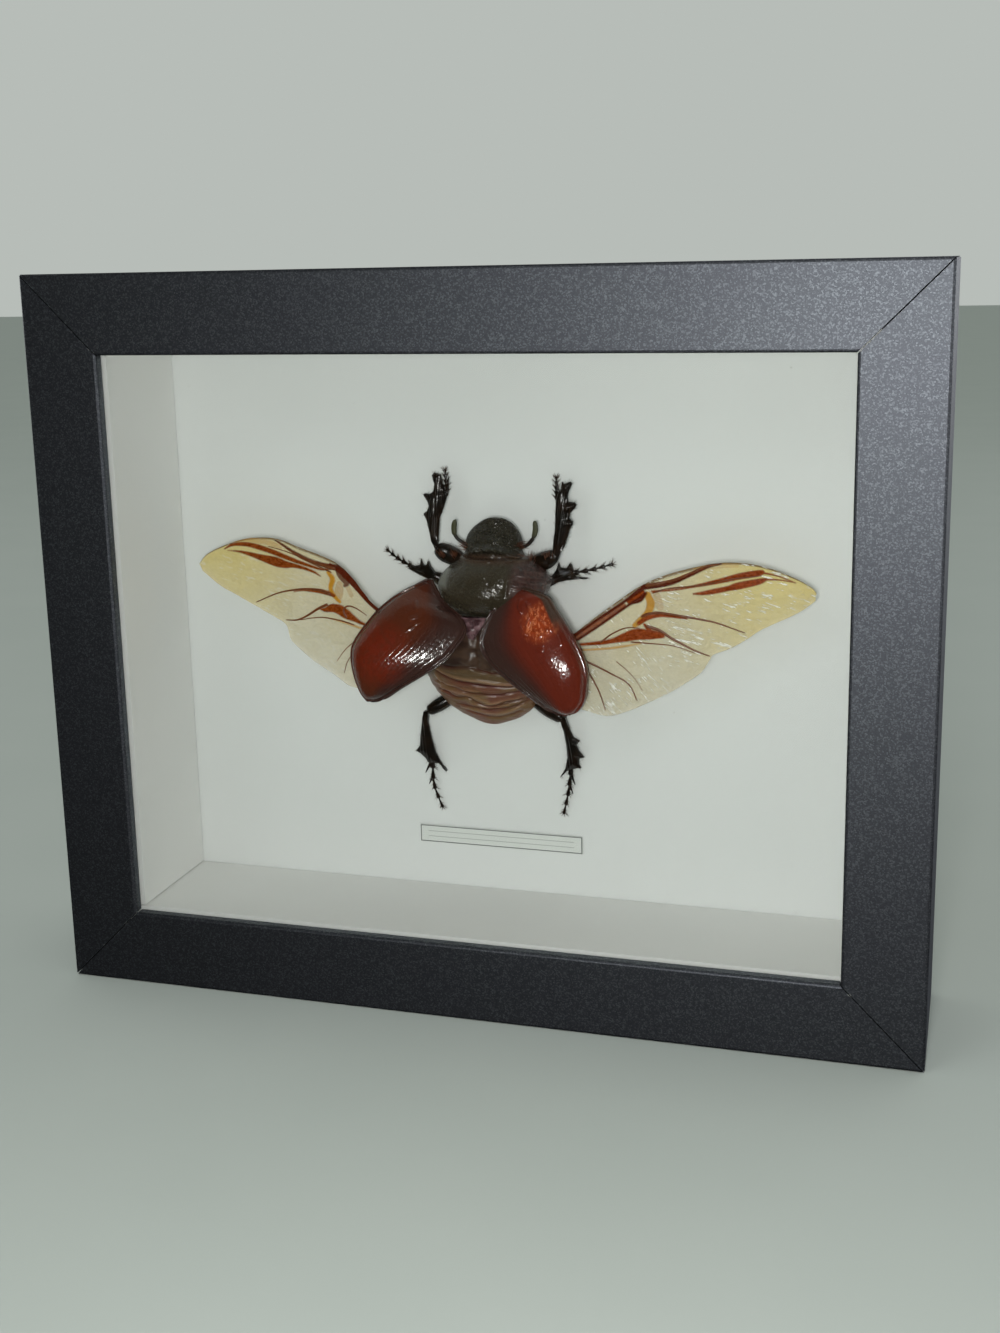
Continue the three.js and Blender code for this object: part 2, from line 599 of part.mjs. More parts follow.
const antennae = {
  antenna_left: [[-6.6, 22.4, 7.9, 0.5, 0.5], [-9.2, 24.1, 8.2, 0.5, 0.45], [-10.2, 25.5, 8.4, 0.55, 0.5],
    [-10.2, 27.6, 8.6, 0.75, 0.6], [-9.9, 29.0, 8.8, 0.65, 0.5], [-9.9, 29.5, 8.8, 0.3, 0.3]],
  antenna_right: [[5.6, 21.8, 7.9, 0.5, 0.5], [8.7, 23.2, 8.2, 0.5, 0.45], [10.5, 25.1, 8.4, 0.55, 0.5],
    [11.0, 27.1, 8.6, 0.75, 0.6], [10.9, 29.3, 8.8, 0.65, 0.5], [10.8, 29.9, 8.8, 0.3, 0.3]],
};

// The body with a clearance all round, taken out of whatever starts beneath it
function bodyClearance() {
  return fuse([trunk(headSections, gap), trunk(pronotumSections, gap), trunk(hindBodySections, gap)]);
}

function largestBody(solid) {
  return solid.decompose().reduce((a, b) => (b.volume() > a.volume() ? b : a));
}

function addLimbs() {
  const clearance = bodyClearance();
  for (const [name, leg] of Object.entries(legs)) {
    const whole = fuse([limb(leg.femur), blade(leg), tarsus(leg.tarsus), ...leg.spikes.map(spike)]);
    addPiece(name, toGeometry(largestBody(whole.subtract(clearance))), finishes.legCuticle);
  }
  for (const [name, stations] of Object.entries(antennae)) {
    const whole = toSolid(limb(stations)).subtract(clearance);
    addPiece(name, toGeometry(largestBody(whole)), finishes.legCuticle);
  }
}

addRails();
addHanger();
addPanes();
addLiners();
addLabel();
addTrunk();
addScutellum();
addWingCases();
addFlightWings();
addLimbs();

export default framed;
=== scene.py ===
# %% [markdown]
# A big dung beetle with spread wings, fixed in a deep black box behind glass. The solids of the box are
# already exact, so this lesson keeps them and gives them finishes. The beetle's solids are plain, so each
# of its pieces is modelled again here, in the same place, with the relief and the hairs that the real
# animal has.

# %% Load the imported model
import math

import bpy
import numpy as np
from mathutils import Matrix, Vector, noise


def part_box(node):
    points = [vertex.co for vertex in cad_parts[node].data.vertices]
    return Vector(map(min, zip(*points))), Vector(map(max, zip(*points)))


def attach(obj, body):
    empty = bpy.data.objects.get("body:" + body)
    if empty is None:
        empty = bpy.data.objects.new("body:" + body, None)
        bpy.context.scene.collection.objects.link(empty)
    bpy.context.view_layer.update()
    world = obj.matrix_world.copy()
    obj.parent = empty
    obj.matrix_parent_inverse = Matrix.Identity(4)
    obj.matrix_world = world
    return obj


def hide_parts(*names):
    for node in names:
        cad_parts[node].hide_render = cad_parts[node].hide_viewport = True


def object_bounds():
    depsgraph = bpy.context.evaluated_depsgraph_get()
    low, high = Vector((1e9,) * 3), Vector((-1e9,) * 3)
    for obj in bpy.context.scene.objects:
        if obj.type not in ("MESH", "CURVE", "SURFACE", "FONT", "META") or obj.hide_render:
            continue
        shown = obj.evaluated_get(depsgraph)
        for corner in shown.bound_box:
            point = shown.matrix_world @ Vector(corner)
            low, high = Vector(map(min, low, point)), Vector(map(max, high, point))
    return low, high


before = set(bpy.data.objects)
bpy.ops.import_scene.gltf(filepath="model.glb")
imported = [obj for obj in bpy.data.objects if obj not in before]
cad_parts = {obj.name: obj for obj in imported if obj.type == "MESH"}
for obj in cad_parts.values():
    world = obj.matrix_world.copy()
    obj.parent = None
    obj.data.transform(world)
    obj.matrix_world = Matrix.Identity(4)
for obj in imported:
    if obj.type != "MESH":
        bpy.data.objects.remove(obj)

CAD_LOW, CAD_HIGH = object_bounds()
MM = 0.001
BOARD_FRONT = -4.3
RANDOM = np.random.default_rng(7)
cad_size = [round((b - a) / MM, 1) for a, b in zip(CAD_LOW, CAD_HIGH)]
print("solids:", len(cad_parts), "box in mm:", cad_size)

# %% [markdown]
# The camera stands where a person stands who looks at the box a little from the right and from above. Its
# place was worked out from the straight edges of the frame. The key lamp is small and close to the camera,
# so the glass throws nothing back to the eye while the wing cases and the corner of the frame shine. The
# fill lamp and the sky only lighten the shadows, and nothing glossy mirrors them, or the dark skins would
# look milky. Four sheen lamps stand beside, behind and above the box. They light only what shines, which is
# the foil and the hanger, and the box itself keeps them from the beetle.

# %% Camera, lamps and sky
CAMERA_PLACE = Vector((0.1166, -0.3931, 0.0915))
CAMERA_RIGHT = Vector((0.9594, 0.2815, -0.0196))
CAMERA_UP = Vector((-0.0429, 0.2140, 0.9759))
CAMERA_BACK = Vector((0.2789, -0.9354, 0.2173))
LENS_MM, SENSOR_MM = 43.44, 36.0
LENS_SHIFT = (-0.0053, -0.0326)
BOX_MIDDLE = Vector((0.0, 0.0, 0.0))
WHITE = (1.0, 1.0, 1.0)
SKY_COLOUR, SKY_STRENGTH = (0.50, 0.535, 0.505, 1), 0.95
# Name, place, size, watts, colour, whether glossy things mirror it and whether it lights matte things
LAMPS = [
    ("key_lamp", (0.103, -0.40, 0.080), 0.045, 0.80, (1.0, 0.985, 0.96), True, True),
    ("fill_lamp", (-0.9, -1.3, 1.1), 0.9, 3.5, (0.96, 0.98, 1.0), False, True),
    ("right_sheen", (1.2, 0.35, 0.45), 0.8, 7.0, WHITE, True, False),
    ("left_sheen", (-1.2, 0.30, 0.45), 0.8, 7.0, WHITE, True, False),
    ("back_sheen", (0.85, 0.95, 0.40), 0.9, 7.0, WHITE, True, False),
    ("top_sheen", (0.2, 0.7, 1.1), 0.8, 4.0, WHITE, True, False)]


def camera_here():
    data = bpy.data.cameras.new("camera")
    data.sensor_width = SENSOR_MM
    data.lens = LENS_MM
    data.shift_x, data.shift_y = LENS_SHIFT
    camera = bpy.data.objects.new("camera", data)
    turn = Matrix((CAMERA_RIGHT, CAMERA_UP, CAMERA_BACK)).transposed().to_4x4()
    camera.matrix_world = Matrix.Translation(CAMERA_PLACE) @ turn
    bpy.context.scene.collection.objects.link(camera)
    bpy.context.scene.camera = camera
    return camera


def soft_lamp(name, place, size, watts, colour, mirrored, lights_matte):
    """A round lamp that looks at the middle of the box."""
    data = bpy.data.lights.new(name, "AREA")
    data.shape = "DISK"
    data.size = size
    data.energy = watts
    data.color = colour
    lamp = bpy.data.objects.new(name, data)
    lamp.visible_glossy = mirrored
    lamp.visible_diffuse = lights_matte
    lamp.visible_camera = False
    aim = BOX_MIDDLE - Vector(place)
    lamp.matrix_world = Matrix.Translation(place) @ aim.to_track_quat("-Z", "Y").to_matrix().to_4x4()
    bpy.context.scene.collection.objects.link(lamp)
    return lamp


camera = camera_here()
for lamp_values in LAMPS:
    soft_lamp(*lamp_values)
world = bpy.data.worlds.new("studio")
world.use_nodes = True
sky = world.node_tree.nodes["Background"]
sky.inputs["Color"].default_value = SKY_COLOUR
sky.inputs["Strength"].default_value = SKY_STRENGTH
world.cycles_visibility.glossy = False
bpy.context.scene.world = world
bpy.context.scene.view_settings.view_transform = "Standard"
print("camera at", [round(c, 4) for c in camera.location], "with", len(LAMPS), "lamps")

# %% [markdown]
# A finish is a small web of nodes. Writing it as sums is easier to read than wiring it by hand, so one
# class stands for the output of a node and knows plus, minus, times and so on, and another holds the nodes
# of one finish.

# %% Shader sums


class Wire:
    """The output of one node, which can be used in a sum."""

    def __init__(self, finish, socket):
        self.finish = finish
        self.socket = socket

    def maths(self, operation, *values):
        return self.finish.node("ShaderNodeMath", {"operation": operation}, dict(enumerate(values)))

    def __add__(self, other):
        return self.maths("ADD", self, other)

    def __radd__(self, other):
        return self.maths("ADD", other, self)

    def __sub__(self, other):
        return self.maths("SUBTRACT", self, other)

    def __rsub__(self, other):
        return self.maths("SUBTRACT", other, self)

    def __mul__(self, other):
        return self.maths("MULTIPLY", self, other)

    def __rmul__(self, other):
        return self.maths("MULTIPLY", other, self)

    def __abs__(self):
        return self.maths("ABSOLUTE", self)

    def least(self, other):
        return self.maths("MINIMUM", self, other)

    def most(self, other):
        return self.maths("MAXIMUM", self, other)

    def between(self, low, high, to_low=0.0, to_high=1.0):
        """Rises softly from to_low to to_high while this goes from low to high."""
        ends = {"Value": self, "From Min": low, "From Max": high, "To Min": to_low, "To Max": to_high}
        return self.finish.node("ShaderNodeMapRange", {"interpolation_type": "SMOOTHSTEP"}, ends)


class Finish:
    """The nodes of one finish."""

    def __init__(self, name):
        self.material = bpy.data.materials.new(name)
        self.material.use_nodes = True
        self.tree = self.material.node_tree
        self.tree.nodes.clear()
        self.place = self.node("ShaderNodeTexCoord", out="Object")

    def node(self, kind, settings=None, sockets=None, out=None):
        made = self.tree.nodes.new(kind)
        for key, value in (settings or {}).items():
            setattr(made, key, value)
        for key, value in (sockets or {}).items():
            if isinstance(value, Wire):
                self.tree.links.new(value.socket, made.inputs[key])
            else:
                made.inputs[key].default_value = value
        if not made.outputs:
            return made
        if out is None:
            out = next(i for i, socket in enumerate(made.outputs) if socket.enabled)
        return Wire(self, made.outputs[out])

    def colours(self, factor, first, second):
        """Goes from one colour to another as factor goes from 0 to 1."""
        return self.node("ShaderNodeMix", {"data_type": "RGBA"}, {0: factor, 6: first, 7: second}, out=2)

    def axes(self, vector=None):
        source = vector or self.place
        return [self.node("ShaderNodeSeparateXYZ", None, {"Vector": source}, out=axis) for axis in range(3)]

    def stretched(self, factors, vector=None):
        source = vector or self.place
        return self.node("ShaderNodeVectorMath", {"operation": "MULTIPLY"}, {0: source, 1: factors})

    def grain(self, size_mm, detail=2.0, roughness=0.5, vector=None):
        """Cloudy noise from 0 to 1 whose spots are about size_mm across."""
        sockets = {"Vector": vector or self.place, "Scale": 1.0 / (size_mm * MM), "Detail": detail}
        sockets["Roughness"] = roughness
        return self.node("ShaderNodeTexNoise", None, sockets, out="Fac")

    def cells(self, size_mm, out="Distance", vector=None):
        """Cells about size_mm across: the distance to each one's middle, or a colour of its own."""
        sockets = {"Vector": vector or self.place, "Scale": 1.0 / (size_mm * MM)}
        return self.node("ShaderNodeTexVoronoi", None, sockets, out=out)

    def flecks(self, size_mm):
        """One chance value from 0 to 1 for each cell."""
        return self.node("ShaderNodeSeparateColor", None, {"Color": self.cells(size_mm, "Color")}, out=0)

    def bump(self, height, depth_mm, strength=1.0):
        sockets = {"Height": height, "Distance": depth_mm * MM, "Strength": strength}
        return self.node("ShaderNodeBump", None, sockets)

    def surface(self, sockets):
        """Ends the finish with a surface shader and hands back the material."""
        body = self.node("ShaderNodeBsdfPrincipled", None, sockets)
        self.node("ShaderNodeOutputMaterial", None, {"Surface": body})
        return self.material


def rgb(red, green, blue):
    """A colour as it looks on screen, from 0 to 255, turned into light values."""
    def light(c):
        c = c / 255
        return c / 12.92 if c <= 0.04045 else ((c + 0.055) / 1.055) ** 2.4
    return (light(red), light(green), light(blue), 1.0)


# %% [markdown]
# The floor is plain and pale and far wider than the box, and the sky round it has the same colour. It only
# gives the box something to stand over and to take its shadow.

# %% Floor
FLOOR_GAP = 0.0001
FLOOR_HEIGHT = CAD_LOW[2] - FLOOR_GAP
FLOOR_SIZE = 12


def floor_finish():
    f = Finish("pale_floor")
    colour = f.colours(f.grain(60.0), rgb(180, 188, 183), rgb(186, 193, 188))
    return f.surface({"Base Color": colour, "Roughness": 0.9})


bpy.ops.object.select_all(action="DESELECT")
bpy.ops.mesh.primitive_plane_add(size=FLOOR_SIZE, location=(0, 0, FLOOR_HEIGHT))
floor = bpy.context.object
floor.name = "floor"
floor.data.materials.append(floor_finish())
floor.visible_glossy = False
print("floor at", round(FLOOR_HEIGHT, 4))

# %% [markdown]
# The frame is a moulding wrapped in black foil. The foil has a fine sparkling grain, which is far too small
# to model: tiny cells change its colour and its bump from fleck to fleck. It shines like a dark metal and
# keeps a trace of matte colour. Along the mitres the foil has chipped here and there, and the pale core
# shows.

# %% Black foil
HALF_X, HALF_Z = CAD_HIGH[0], CAD_HIGH[2]
FACE_WIDTH = 0.0195
FRONT = CAD_LOW[1]
METAL_SHARE = 0.96


def foil_finish():
    f = Finish("black_foil")
    x, y, z = f.axes()
    fleck = f.flecks(0.3)
    grain = f.grain(0.55, 4.0, 0.7)
    cloud = f.grain(30.0, 2.0)
    bright = (fleck - 0.55).most(0.0) * 1.5 + grain * 0.55
    colour = f.colours(bright.least(1.0), rgb(71, 74, 79), rgb(126, 133, 139))
    colour = f.colours(cloud * 0.3, colour, rgb(84, 82, 96))
    to_mitre = abs((HALF_X - abs(x)) - (HALF_Z - abs(z)))
    along = (HALF_X - abs(x)).least(HALF_Z - abs(z))
    chips = f.grain(1.1, 3.0, 0.8).between(0.56, 0.66) * to_mitre.between(0.0002, 0.00062, 1.0, 0.0)
    inner = along.between(0.012, FACE_WIDTH) * 0.55 + 0.35
    chips = chips * inner * y.between(FRONT + 0.0006, FRONT + 0.0002)
    colour = f.colours(chips, colour, rgb(170, 172, 166))
    rough = 0.44 + grain * 0.16 + chips * 0.25
    height = grain * 0.7 + fleck * 0.5
    metal = METAL_SHARE - chips * METAL_SHARE
    normal = f.bump(height, 0.035, 0.55)
    return f.surface({"Base Color": colour, "Metallic": metal, "Roughness": rough, "Normal": normal})


def dress(node_names, material):
    """Gives solids of the frame a finish and leaves their shapes alone."""
    for name in node_names:
        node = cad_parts[name]
        node.data.materials.clear()
        node.data.materials.append(material)


RAILS = ["frame_rail_top", "frame_rail_bottom", "frame_rail_left", "frame_rail_right"]
dress(RAILS, foil_finish())
print("dressed", RAILS)

# %% [markdown]
# Behind the glass all is card: the lining strips and the mount board. Card is matte with a faint fibre, a
# little warmer and lighter on the strips than on the board. The strips' extra lightness is painted light,
# which makes up for the shade inside the box. The glass is a see-through surface mixed with a weak
# mirror, whose share grows where the eye meets the pane at a slant. It bends nothing, as a thin flat pane
# hardly does. The back is brown hardboard, and the hanger let into it is zinc-plated steel with its
# spangle.

# %% Card, glass, hardboard and steel
def card_finish(name, pale, deep, blotch_mm):
    f = Finish(name)
    fibre = f.grain(0.35, 3.0, 0.7, f.stretched((1.0, 1.0, 0.35)))
    colour = f.colours(f.grain(blotch_mm, 3.0) * 0.8 + fibre * 0.2, deep, pale)
    speck = f.cells(9.0).between(0.02, 0.035, 0.35, 0.0)
    colour = f.colours(speck, colour, rgb(150, 148, 140))
    return f.surface({"Base Color": colour, "Roughness": 0.86, "Normal": f.bump(fibre, 0.02, 0.4)})


def glass_finish():
    f = Finish("clear_glass")
    mirror_share = f.node("ShaderNodeFresnel", None, {"IOR": 1.3})
    clear = f.node("ShaderNodeBsdfTransparent", None, {"Color": (0.99, 0.997, 0.994, 1)})
    smear = f.grain(18.0, 3.0).between(0.5, 0.8, 0.01, 0.06)
    mirror = f.node("ShaderNodeBsdfGlossy", None, {"Color": (0.5, 0.5, 0.5, 1), "Roughness": smear})
    pane = f.node("ShaderNodeMixShader", None, {0: mirror_share, 1: clear, 2: mirror})
    f.node("ShaderNodeOutputMaterial", None, {"Surface": pane})
    return f.material


def hardboard_finish():
    f = Finish("hardboard")
    fibre = f.grain(0.5, 5.0, 0.75, f.stretched((0.3, 1.0, 1.0)))
    flake = f.flecks(1.4)
    colour = f.colours(fibre * 0.7 + flake * 0.3, rgb(96, 66, 42), rgb(142, 106, 72))
    colour = f.colours(f.grain(22.0, 3.0) * 0.5, colour, rgb(110, 78, 52))
    normal = f.bump(fibre, 0.05, 0.5)
    return f.surface({"Base Color": colour, "Roughness": 0.5 + fibre * 0.25, "Normal": normal})


def steel_finish():
    f = Finish("zinc_steel")
    brush = f.grain(0.25, 3.0, 0.6, f.stretched((0.08, 1.0, 1.0)))
    spangle = f.flecks(1.8)
    colour = f.colours(spangle * 0.6 + brush * 0.4, rgb(168, 170, 172), rgb(206, 207, 204))
    return f.surface({"Base Color": colour, "Metallic": 0.88, "Roughness": 0.32 + brush * 0.2})


board_card = card_finish("board_card", rgb(226, 228, 227), rgb(219, 222, 220), 45.0)
# The strips' card is lighter than the board's card: painted light that makes up for the shade inside the
# box.
liner_card = card_finish("liner_card", rgb(238, 238, 236), rgb(230, 231, 228), 25.0)
dress(["mount_board"], board_card)
dress(["liner_top", "liner_bottom", "liner_left", "liner_right"], liner_card)
dress(["glass_pane"], glass_finish())
dress(["back_panel"], hardboard_finish())
dress(["hanger_plate"], steel_finish())
print("card, glass, hardboard and steel are on")

# %% [markdown]
# The label is a printed slip. Its thin black border and two fine ruled lines are print, so they are colour:
# the distance to the edge of the slip, worked out from its own place, says where the border runs.

# %% Label
def label_finish(low, high):
    f = Finish("label_paper")
    x, _, z = f.axes()
    middle = (low + high) / 2
    half = (high - low) / 2
    side = half.x - abs(x - middle.x)
    top = half.z - abs(z - middle.z)
    edge = side.least(top)
    border = edge.between(0.00006, 0.00012) * edge.between(0.00030, 0.00036, 1.0, 0.0)
    inside = side.between(0.0022, 0.0024)
    rule = abs(abs(z - middle.z) - 0.00072).between(0.00006, 0.00013, 1.0, 0.0) * inside
    paper = f.colours(f.grain(0.4, 3.0), rgb(214, 218, 214), rgb(222, 225, 221))
    colour = f.colours(border * 0.85, paper, rgb(38, 44, 46))
    colour = f.colours(rule * 0.42, colour, rgb(60, 70, 72))
    normal = f.bump(f.grain(0.25, 2.0), 0.01, 0.4)
    return f.surface({"Base Color": colour, "Roughness": 0.82, "Normal": normal})


label_low, label_high = (Vector(corner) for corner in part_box("label_slip"))
dress(["label_slip"], label_finish(label_low, label_high))
print("label in mm:", [round(c / MM, 1) for c in label_high - label_low])

# %% [markdown]
# Most of the beetle is made of thin grown shells with double curves. Pushing such a shell into shape by
# hand operators alone would be slow and rough, so each one starts as a grid primitive with the right number
# of squares, and the points of the grid are laid onto the shell by a rule: two edges that were measured,
# and a dome between them. The rule gives across, up and height in front of the mount board, in millimetres.

# %% Curves and grids
CURVE_SAMPLES = 600
BAND_SAMPLES = 90
BAND_FADE = 0.22


def smooth_rows(rows, t):
    """A soft curve through the rows; t runs from 0 at the first row to 1 at the last."""
    rows = np.asarray(rows, float)
    padded = np.vstack([2 * rows[0] - rows[1], rows, 2 * rows[-1] - rows[-2]])
    t = np.asarray(t, float) * (len(rows) - 1)
    i = np.clip(t.astype(int), 0, len(rows) - 2)
    f = (t - i)[..., None]
    a, b, c, d = padded[i], padded[i + 1], padded[i + 2], padded[i + 3]
    bend = (2 * a - 5 * b + 4 * c - d) * f ** 2 + (3 * b - a - 3 * c + d) * f ** 3
    return 0.5 * (2 * b + (c - a) * f + bend)


def even_rows(rows, t):
    """The same curve with t measured along its length."""
    fine = smooth_rows(rows, np.linspace(0, 1, CURVE_SAMPLES))
    steps = np.linalg.norm(np.diff(fine[:, :2], axis=0), axis=1)
    length = np.concatenate([[0], np.cumsum(steps)])
    t = np.asarray(t, float) * length[-1]
    return np.stack([np.interp(t, length, fine[:, k]) for k in range(fine.shape[1])], -1)


def deselect():
    """Leaves edit mode and selects nothing, so that the next operator starts clean."""
    if bpy.context.object and bpy.context.object.mode != "OBJECT":
        bpy.ops.object.mode_set(mode="OBJECT")
    bpy.ops.object.select_all(action="DESELECT")


def pick(obj):
    deselect()
    obj.select_set(True)
    bpy.context.view_layer.objects.active = obj


def points_of(obj):
    flat = np.empty(len(obj.data.vertices) * 3, np.float32)
    obj.data.vertices.foreach_get("co", flat)
    return flat.reshape(-1, 3).astype(float)


def place_points(obj, across_up_height):
    """Moves the points of a piece to across, up and height in millimetres."""
    x, z, h = across_up_height.T
    flat = np.stack([x, BOARD_FRONT - h, z], 1) * MM
    obj.data.vertices.foreach_set("co", flat.astype(np.float32).ravel())
    obj.data.update()


def measured(obj):
    """Across, up and height in millimetres of the points of a piece."""
    co = points_of(obj) / MM
    return np.stack([co[:, 0], co[:, 2], BOARD_FRONT - co[:, 1]], 1)


def grid_piece(name, along, across, rule):
    """A grid primitive laid out by rule(u, v), both from 0 to 1."""
    deselect()
    bpy.ops.mesh.primitive_grid_add(x_subdivisions=along, y_subdivisions=across, size=2)
    obj = bpy.context.object
    obj.name = obj.data.name = name
    co = points_of(obj)
    u, v = np.clip((co[:, 0] + 1) / 2, 0, 1), np.clip((co[:, 1] + 1) / 2, 0, 1)
    place_points(obj, rule(u, v))
    return obj, u, v


def close_seams(obj, reach_mm=0.004):
    """Welds the seam and the poles of a shell, and turns its faces outwards."""
    pick(obj)
    bpy.ops.object.mode_set(mode="EDIT")
    bpy.ops.mesh.select_all(action="SELECT")
    bpy.ops.mesh.remove_doubles(threshold=reach_mm * MM)
    bpy.ops.mesh.normals_make_consistent(inside=False)
    bpy.ops.object.mode_set(mode="OBJECT")


def face_forward(obj):
    """Turns an open sheet so that its faces look out of the box."""
    normal_y = sum(polygon.normal.y * polygon.area for polygon in obj.data.polygons)
    if normal_y > 0:
        pick(obj)
        bpy.ops.object.mode_set(mode="EDIT")
        bpy.ops.mesh.select_all(action="SELECT")
        bpy.ops.mesh.flip_normals()
        bpy.ops.object.mode_set(mode="OBJECT")


def apply_modifier(obj, kind, **settings):
    pick(obj)
    modifier = obj.modifiers.new(kind.lower(), kind)
    for key, value in settings.items():
        setattr(modifier, key, value)
    bpy.ops.object.modifier_apply(modifier=modifier.name)


def thicken(obj, thickness_mm, offset=0.0):
    apply_modifier(obj, "SOLIDIFY", thickness=thickness_mm * MM, offset=offset, use_even_offset=False)


def finish_piece(obj, material, slot, *stands_for):
    """Smooths, dresses and places a finished piece on the frame."""
    for polygon in obj.data.polygons:
        polygon.use_smooth = True
    obj.data.materials.clear()
    obj.data.materials.append(material)
    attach(obj, "root")
    if stands_for:
        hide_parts(*stands_for)
    low, high = measured(obj).min(0), measured(obj).max(0)
    print(obj.name, "faces", len(obj.data.polygons), "from", low.round(1), "to", high.round(1))
    return obj


def give(obj, name, values):
    """Stores one number per point under a name that the finish can read."""
    attribute = obj.data.attributes.new(name, "FLOAT", "POINT")
    attribute.data.foreach_set("value", np.asarray(values, np.float32))


def band_amount(points, path, strength, fade=BAND_FADE):
    """How much of a band lies at each point: full inside its half width, and then it fades out."""
    line = even_rows(path, np.linspace(0, 1, BAND_SAMPLES))
    inside = np.full(len(points), -1e9)
    for x, z, half in line:
        inside = np.maximum(inside, half - np.hypot(points[:, 0] - x, points[:, 1] - z))
    return strength * np.clip(inside / fade + 0.5, 0, 1)


def hills(points, size_mm, seed=0.0):
    """Soft noise from -1 to 1 at each point."""
    scaled = points / size_mm + seed
    return np.array([noise.noise(Vector(p)) for p in scaled])


def pebbles(points, size_mm):
    """Rounded grains: 1 on the top of each grain and 0 between grains."""
    scaled = points / size_mm
    nearest = np.array([noise.voronoi(Vector(p))[0][0] for p in scaled])
    return np.clip(1 - (nearest / 0.55) ** 2, 0, 1)


# %% [markdown]
# The head, the pronotum behind it and the hind body are closed shells round the body's axis. The rule for
# them is a row of arched sections: one end of the grid goes round each section, the other runs down the
# body, and the ends close in a point. Grains, ridges and wrinkles are added to the points themselves, so
# that they are real relief.

# %% Trunk shells
WIDEST_AT = 0.36
KNOB_WIDTH, KNOB_HEIGHT = 0.42, 0.28
UNDERSIDE_TOP = 4


def trunk_piece(name, sections, around, along, relief, start_pole, end_pole):
    """A shell over sections given as up, centre across, half width, lowest and highest height."""
    first, last = list(sections[0]), list(sections[-1])

    def pole(section, z):
        middle = section[3] + WIDEST_AT * (section[4] - section[3])
        return [z, section[1], 0.0, middle, middle]

    rows = [pole(first, start_pole), first, *sections[1:-1], last, pole(last, end_pole)]

    def rule(u, v):
        z, x, half, low, high = smooth_rows(rows, v).T
        half = np.maximum(half, 0.0)
        angle = u * 2 * math.pi
        widest = low + WIDEST_AT * (high - low)
        reach = np.where(np.sin(angle) > 0, high - widest, widest - low)
        ends = (v > 1e-6) & (v < 1 - 1e-6)
        point = np.stack([x + half * np.cos(angle), z, widest + reach * np.sin(angle)], 1)
        out = np.stack([np.cos(angle), np.zeros_like(u), np.sin(angle)], 1)
        return point + out * (relief(point, u, v) * ends)[:, None]

    obj, u, v = grid_piece(name, around, along, rule)
    close_seams(obj)
    return obj


def bump_at(point, x, z, width, height):
    """A soft round knob at one place."""
    return height * np.exp(-((point[:, 0] - x) ** 2 + (point[:, 1] - z) ** 2) / width ** 2)


HEAD = [(19.8, 0.3, 7.0, 5.5, 13.4), (22.5, 0.1, 7.2, 5.0, 13.3), (24.5, 0.1, 7.2, 5.2, 12.4),
        (26.5, 0.3, 6.3, 6.0, 10.9), (28.3, 0.5, 4.6, 6.8, 9.5), (29.4, 0.6, 2.9, 7.3, 8.8),
        (29.9, 0.6, 1.3, 7.7, 8.5)]
HEAD_KNOBS = [(-2.6, 22.3, 0.9, 0.9), (0.3, 22.9, 1.0, 1.2), (3.1, 22.5, 0.9, 0.9), (0.7, 25.0, 0.7, 0.5),
              (2.4, 24.6, 0.5, 0.45), (1.4, 24.4, 0.4, 0.4), (-0.9, 24.9, 0.5, 0.4), (-4.3, 21.6, 0.5, 0.5),
              (1.0, 29.0, 0.4, 0.3), (0.2, 28.8, 0.35, 0.25)]


def head_relief(point, u, v):
    crest = 0.75 * np.exp(-((point[:, 1] - 22.7 + 0.05 * point[:, 0] ** 2) / 0.7) ** 2)
    rim = 0.25 * np.exp(-((v - 0.87) / 0.03) ** 2)
    total = 0.13 * pebbles(point, 0.6) + 0.08 * hills(point, 1.7) + crest + rim
    for knob in HEAD_KNOBS:
        total = total + bump_at(point, *knob)
    return total


head = trunk_piece("beetle_head", HEAD, 220, 120, head_relief, 19.8, 30.05)

PRONOTUM = [(5.3, -2.8, 4.5, 7.0, 13.0), (6.2, -1.8, 8.2, 5.5, 15.4), (8.2, -0.9, 11.6, 4.4, 18.0),
            (11.0, 0.0, 13.8, 3.6, 19.6), (14.0, 0.5, 14.4, 3.4, 19.5), (16.8, 0.8, 13.0, 3.8, 18.4),
            (19.0, 0.8, 10.0, 4.6, 16.4), (20.6, 0.6, 7.6, 5.6, 14.0)]
PRONOTUM_KNOBS = [
    (-4.4, 14.0), (-3.3, 12.9), (-4.9, 12.6), (-0.2, 17.6), (0.6, 16.9), (2.0, 19.1), (4.4, 19.2),
    (3.3, 18.7), (1.3, 15.5), (2.4, 15.0), (7.4, 16.6), (7.9, 15.9), (0.2, 15.9), (5.6, 17.6)]


def pronotum_relief(point, u, v):
    lobe = np.clip((point[:, 0] - 6.0) / 2.5, 0, 1)
    grains = 0.15 * pebbles(point, 0.62) * (1 - lobe) + bump_at(point, 0.3, 12.0, 5.0, 1.0)
    waves = 0.12 * hills(point, 2.6) + 0.05 * hills(point, 0.8, 9.0) * lobe
    folds = 0.42 * lobe * np.sin(point[:, 1] * 5.0 + point[:, 0] * 1.3 + 1.6 * hills(point, 3.0, 4.0)) ** 3
    folds = folds * np.exp(-((point[:, 1] - 15.6) / 1.7) ** 2)
    for x, z in PRONOTUM_KNOBS:
        folds = folds + bump_at(point, x, z, KNOB_WIDTH, KNOB_HEIGHT)
    seam = -0.45 * np.exp(-((point[:, 0] - 6.2 - 0.12 * (point[:, 1] - 15)) / 0.45) ** 2)
    seam = seam * np.clip((point[:, 1] - 10.5) / 2.0, 0, 1)
    rim = 0.35 * np.exp(-((v - 0.845) / 0.018) ** 2) + 0.3 * np.exp(-((v - 0.20) / 0.016) ** 2)
    return grains + waves + folds + seam + rim


pronotum = trunk_piece("beetle_pronotum", PRONOTUM, 260, 150, pronotum_relief, 5.1, 20.9)

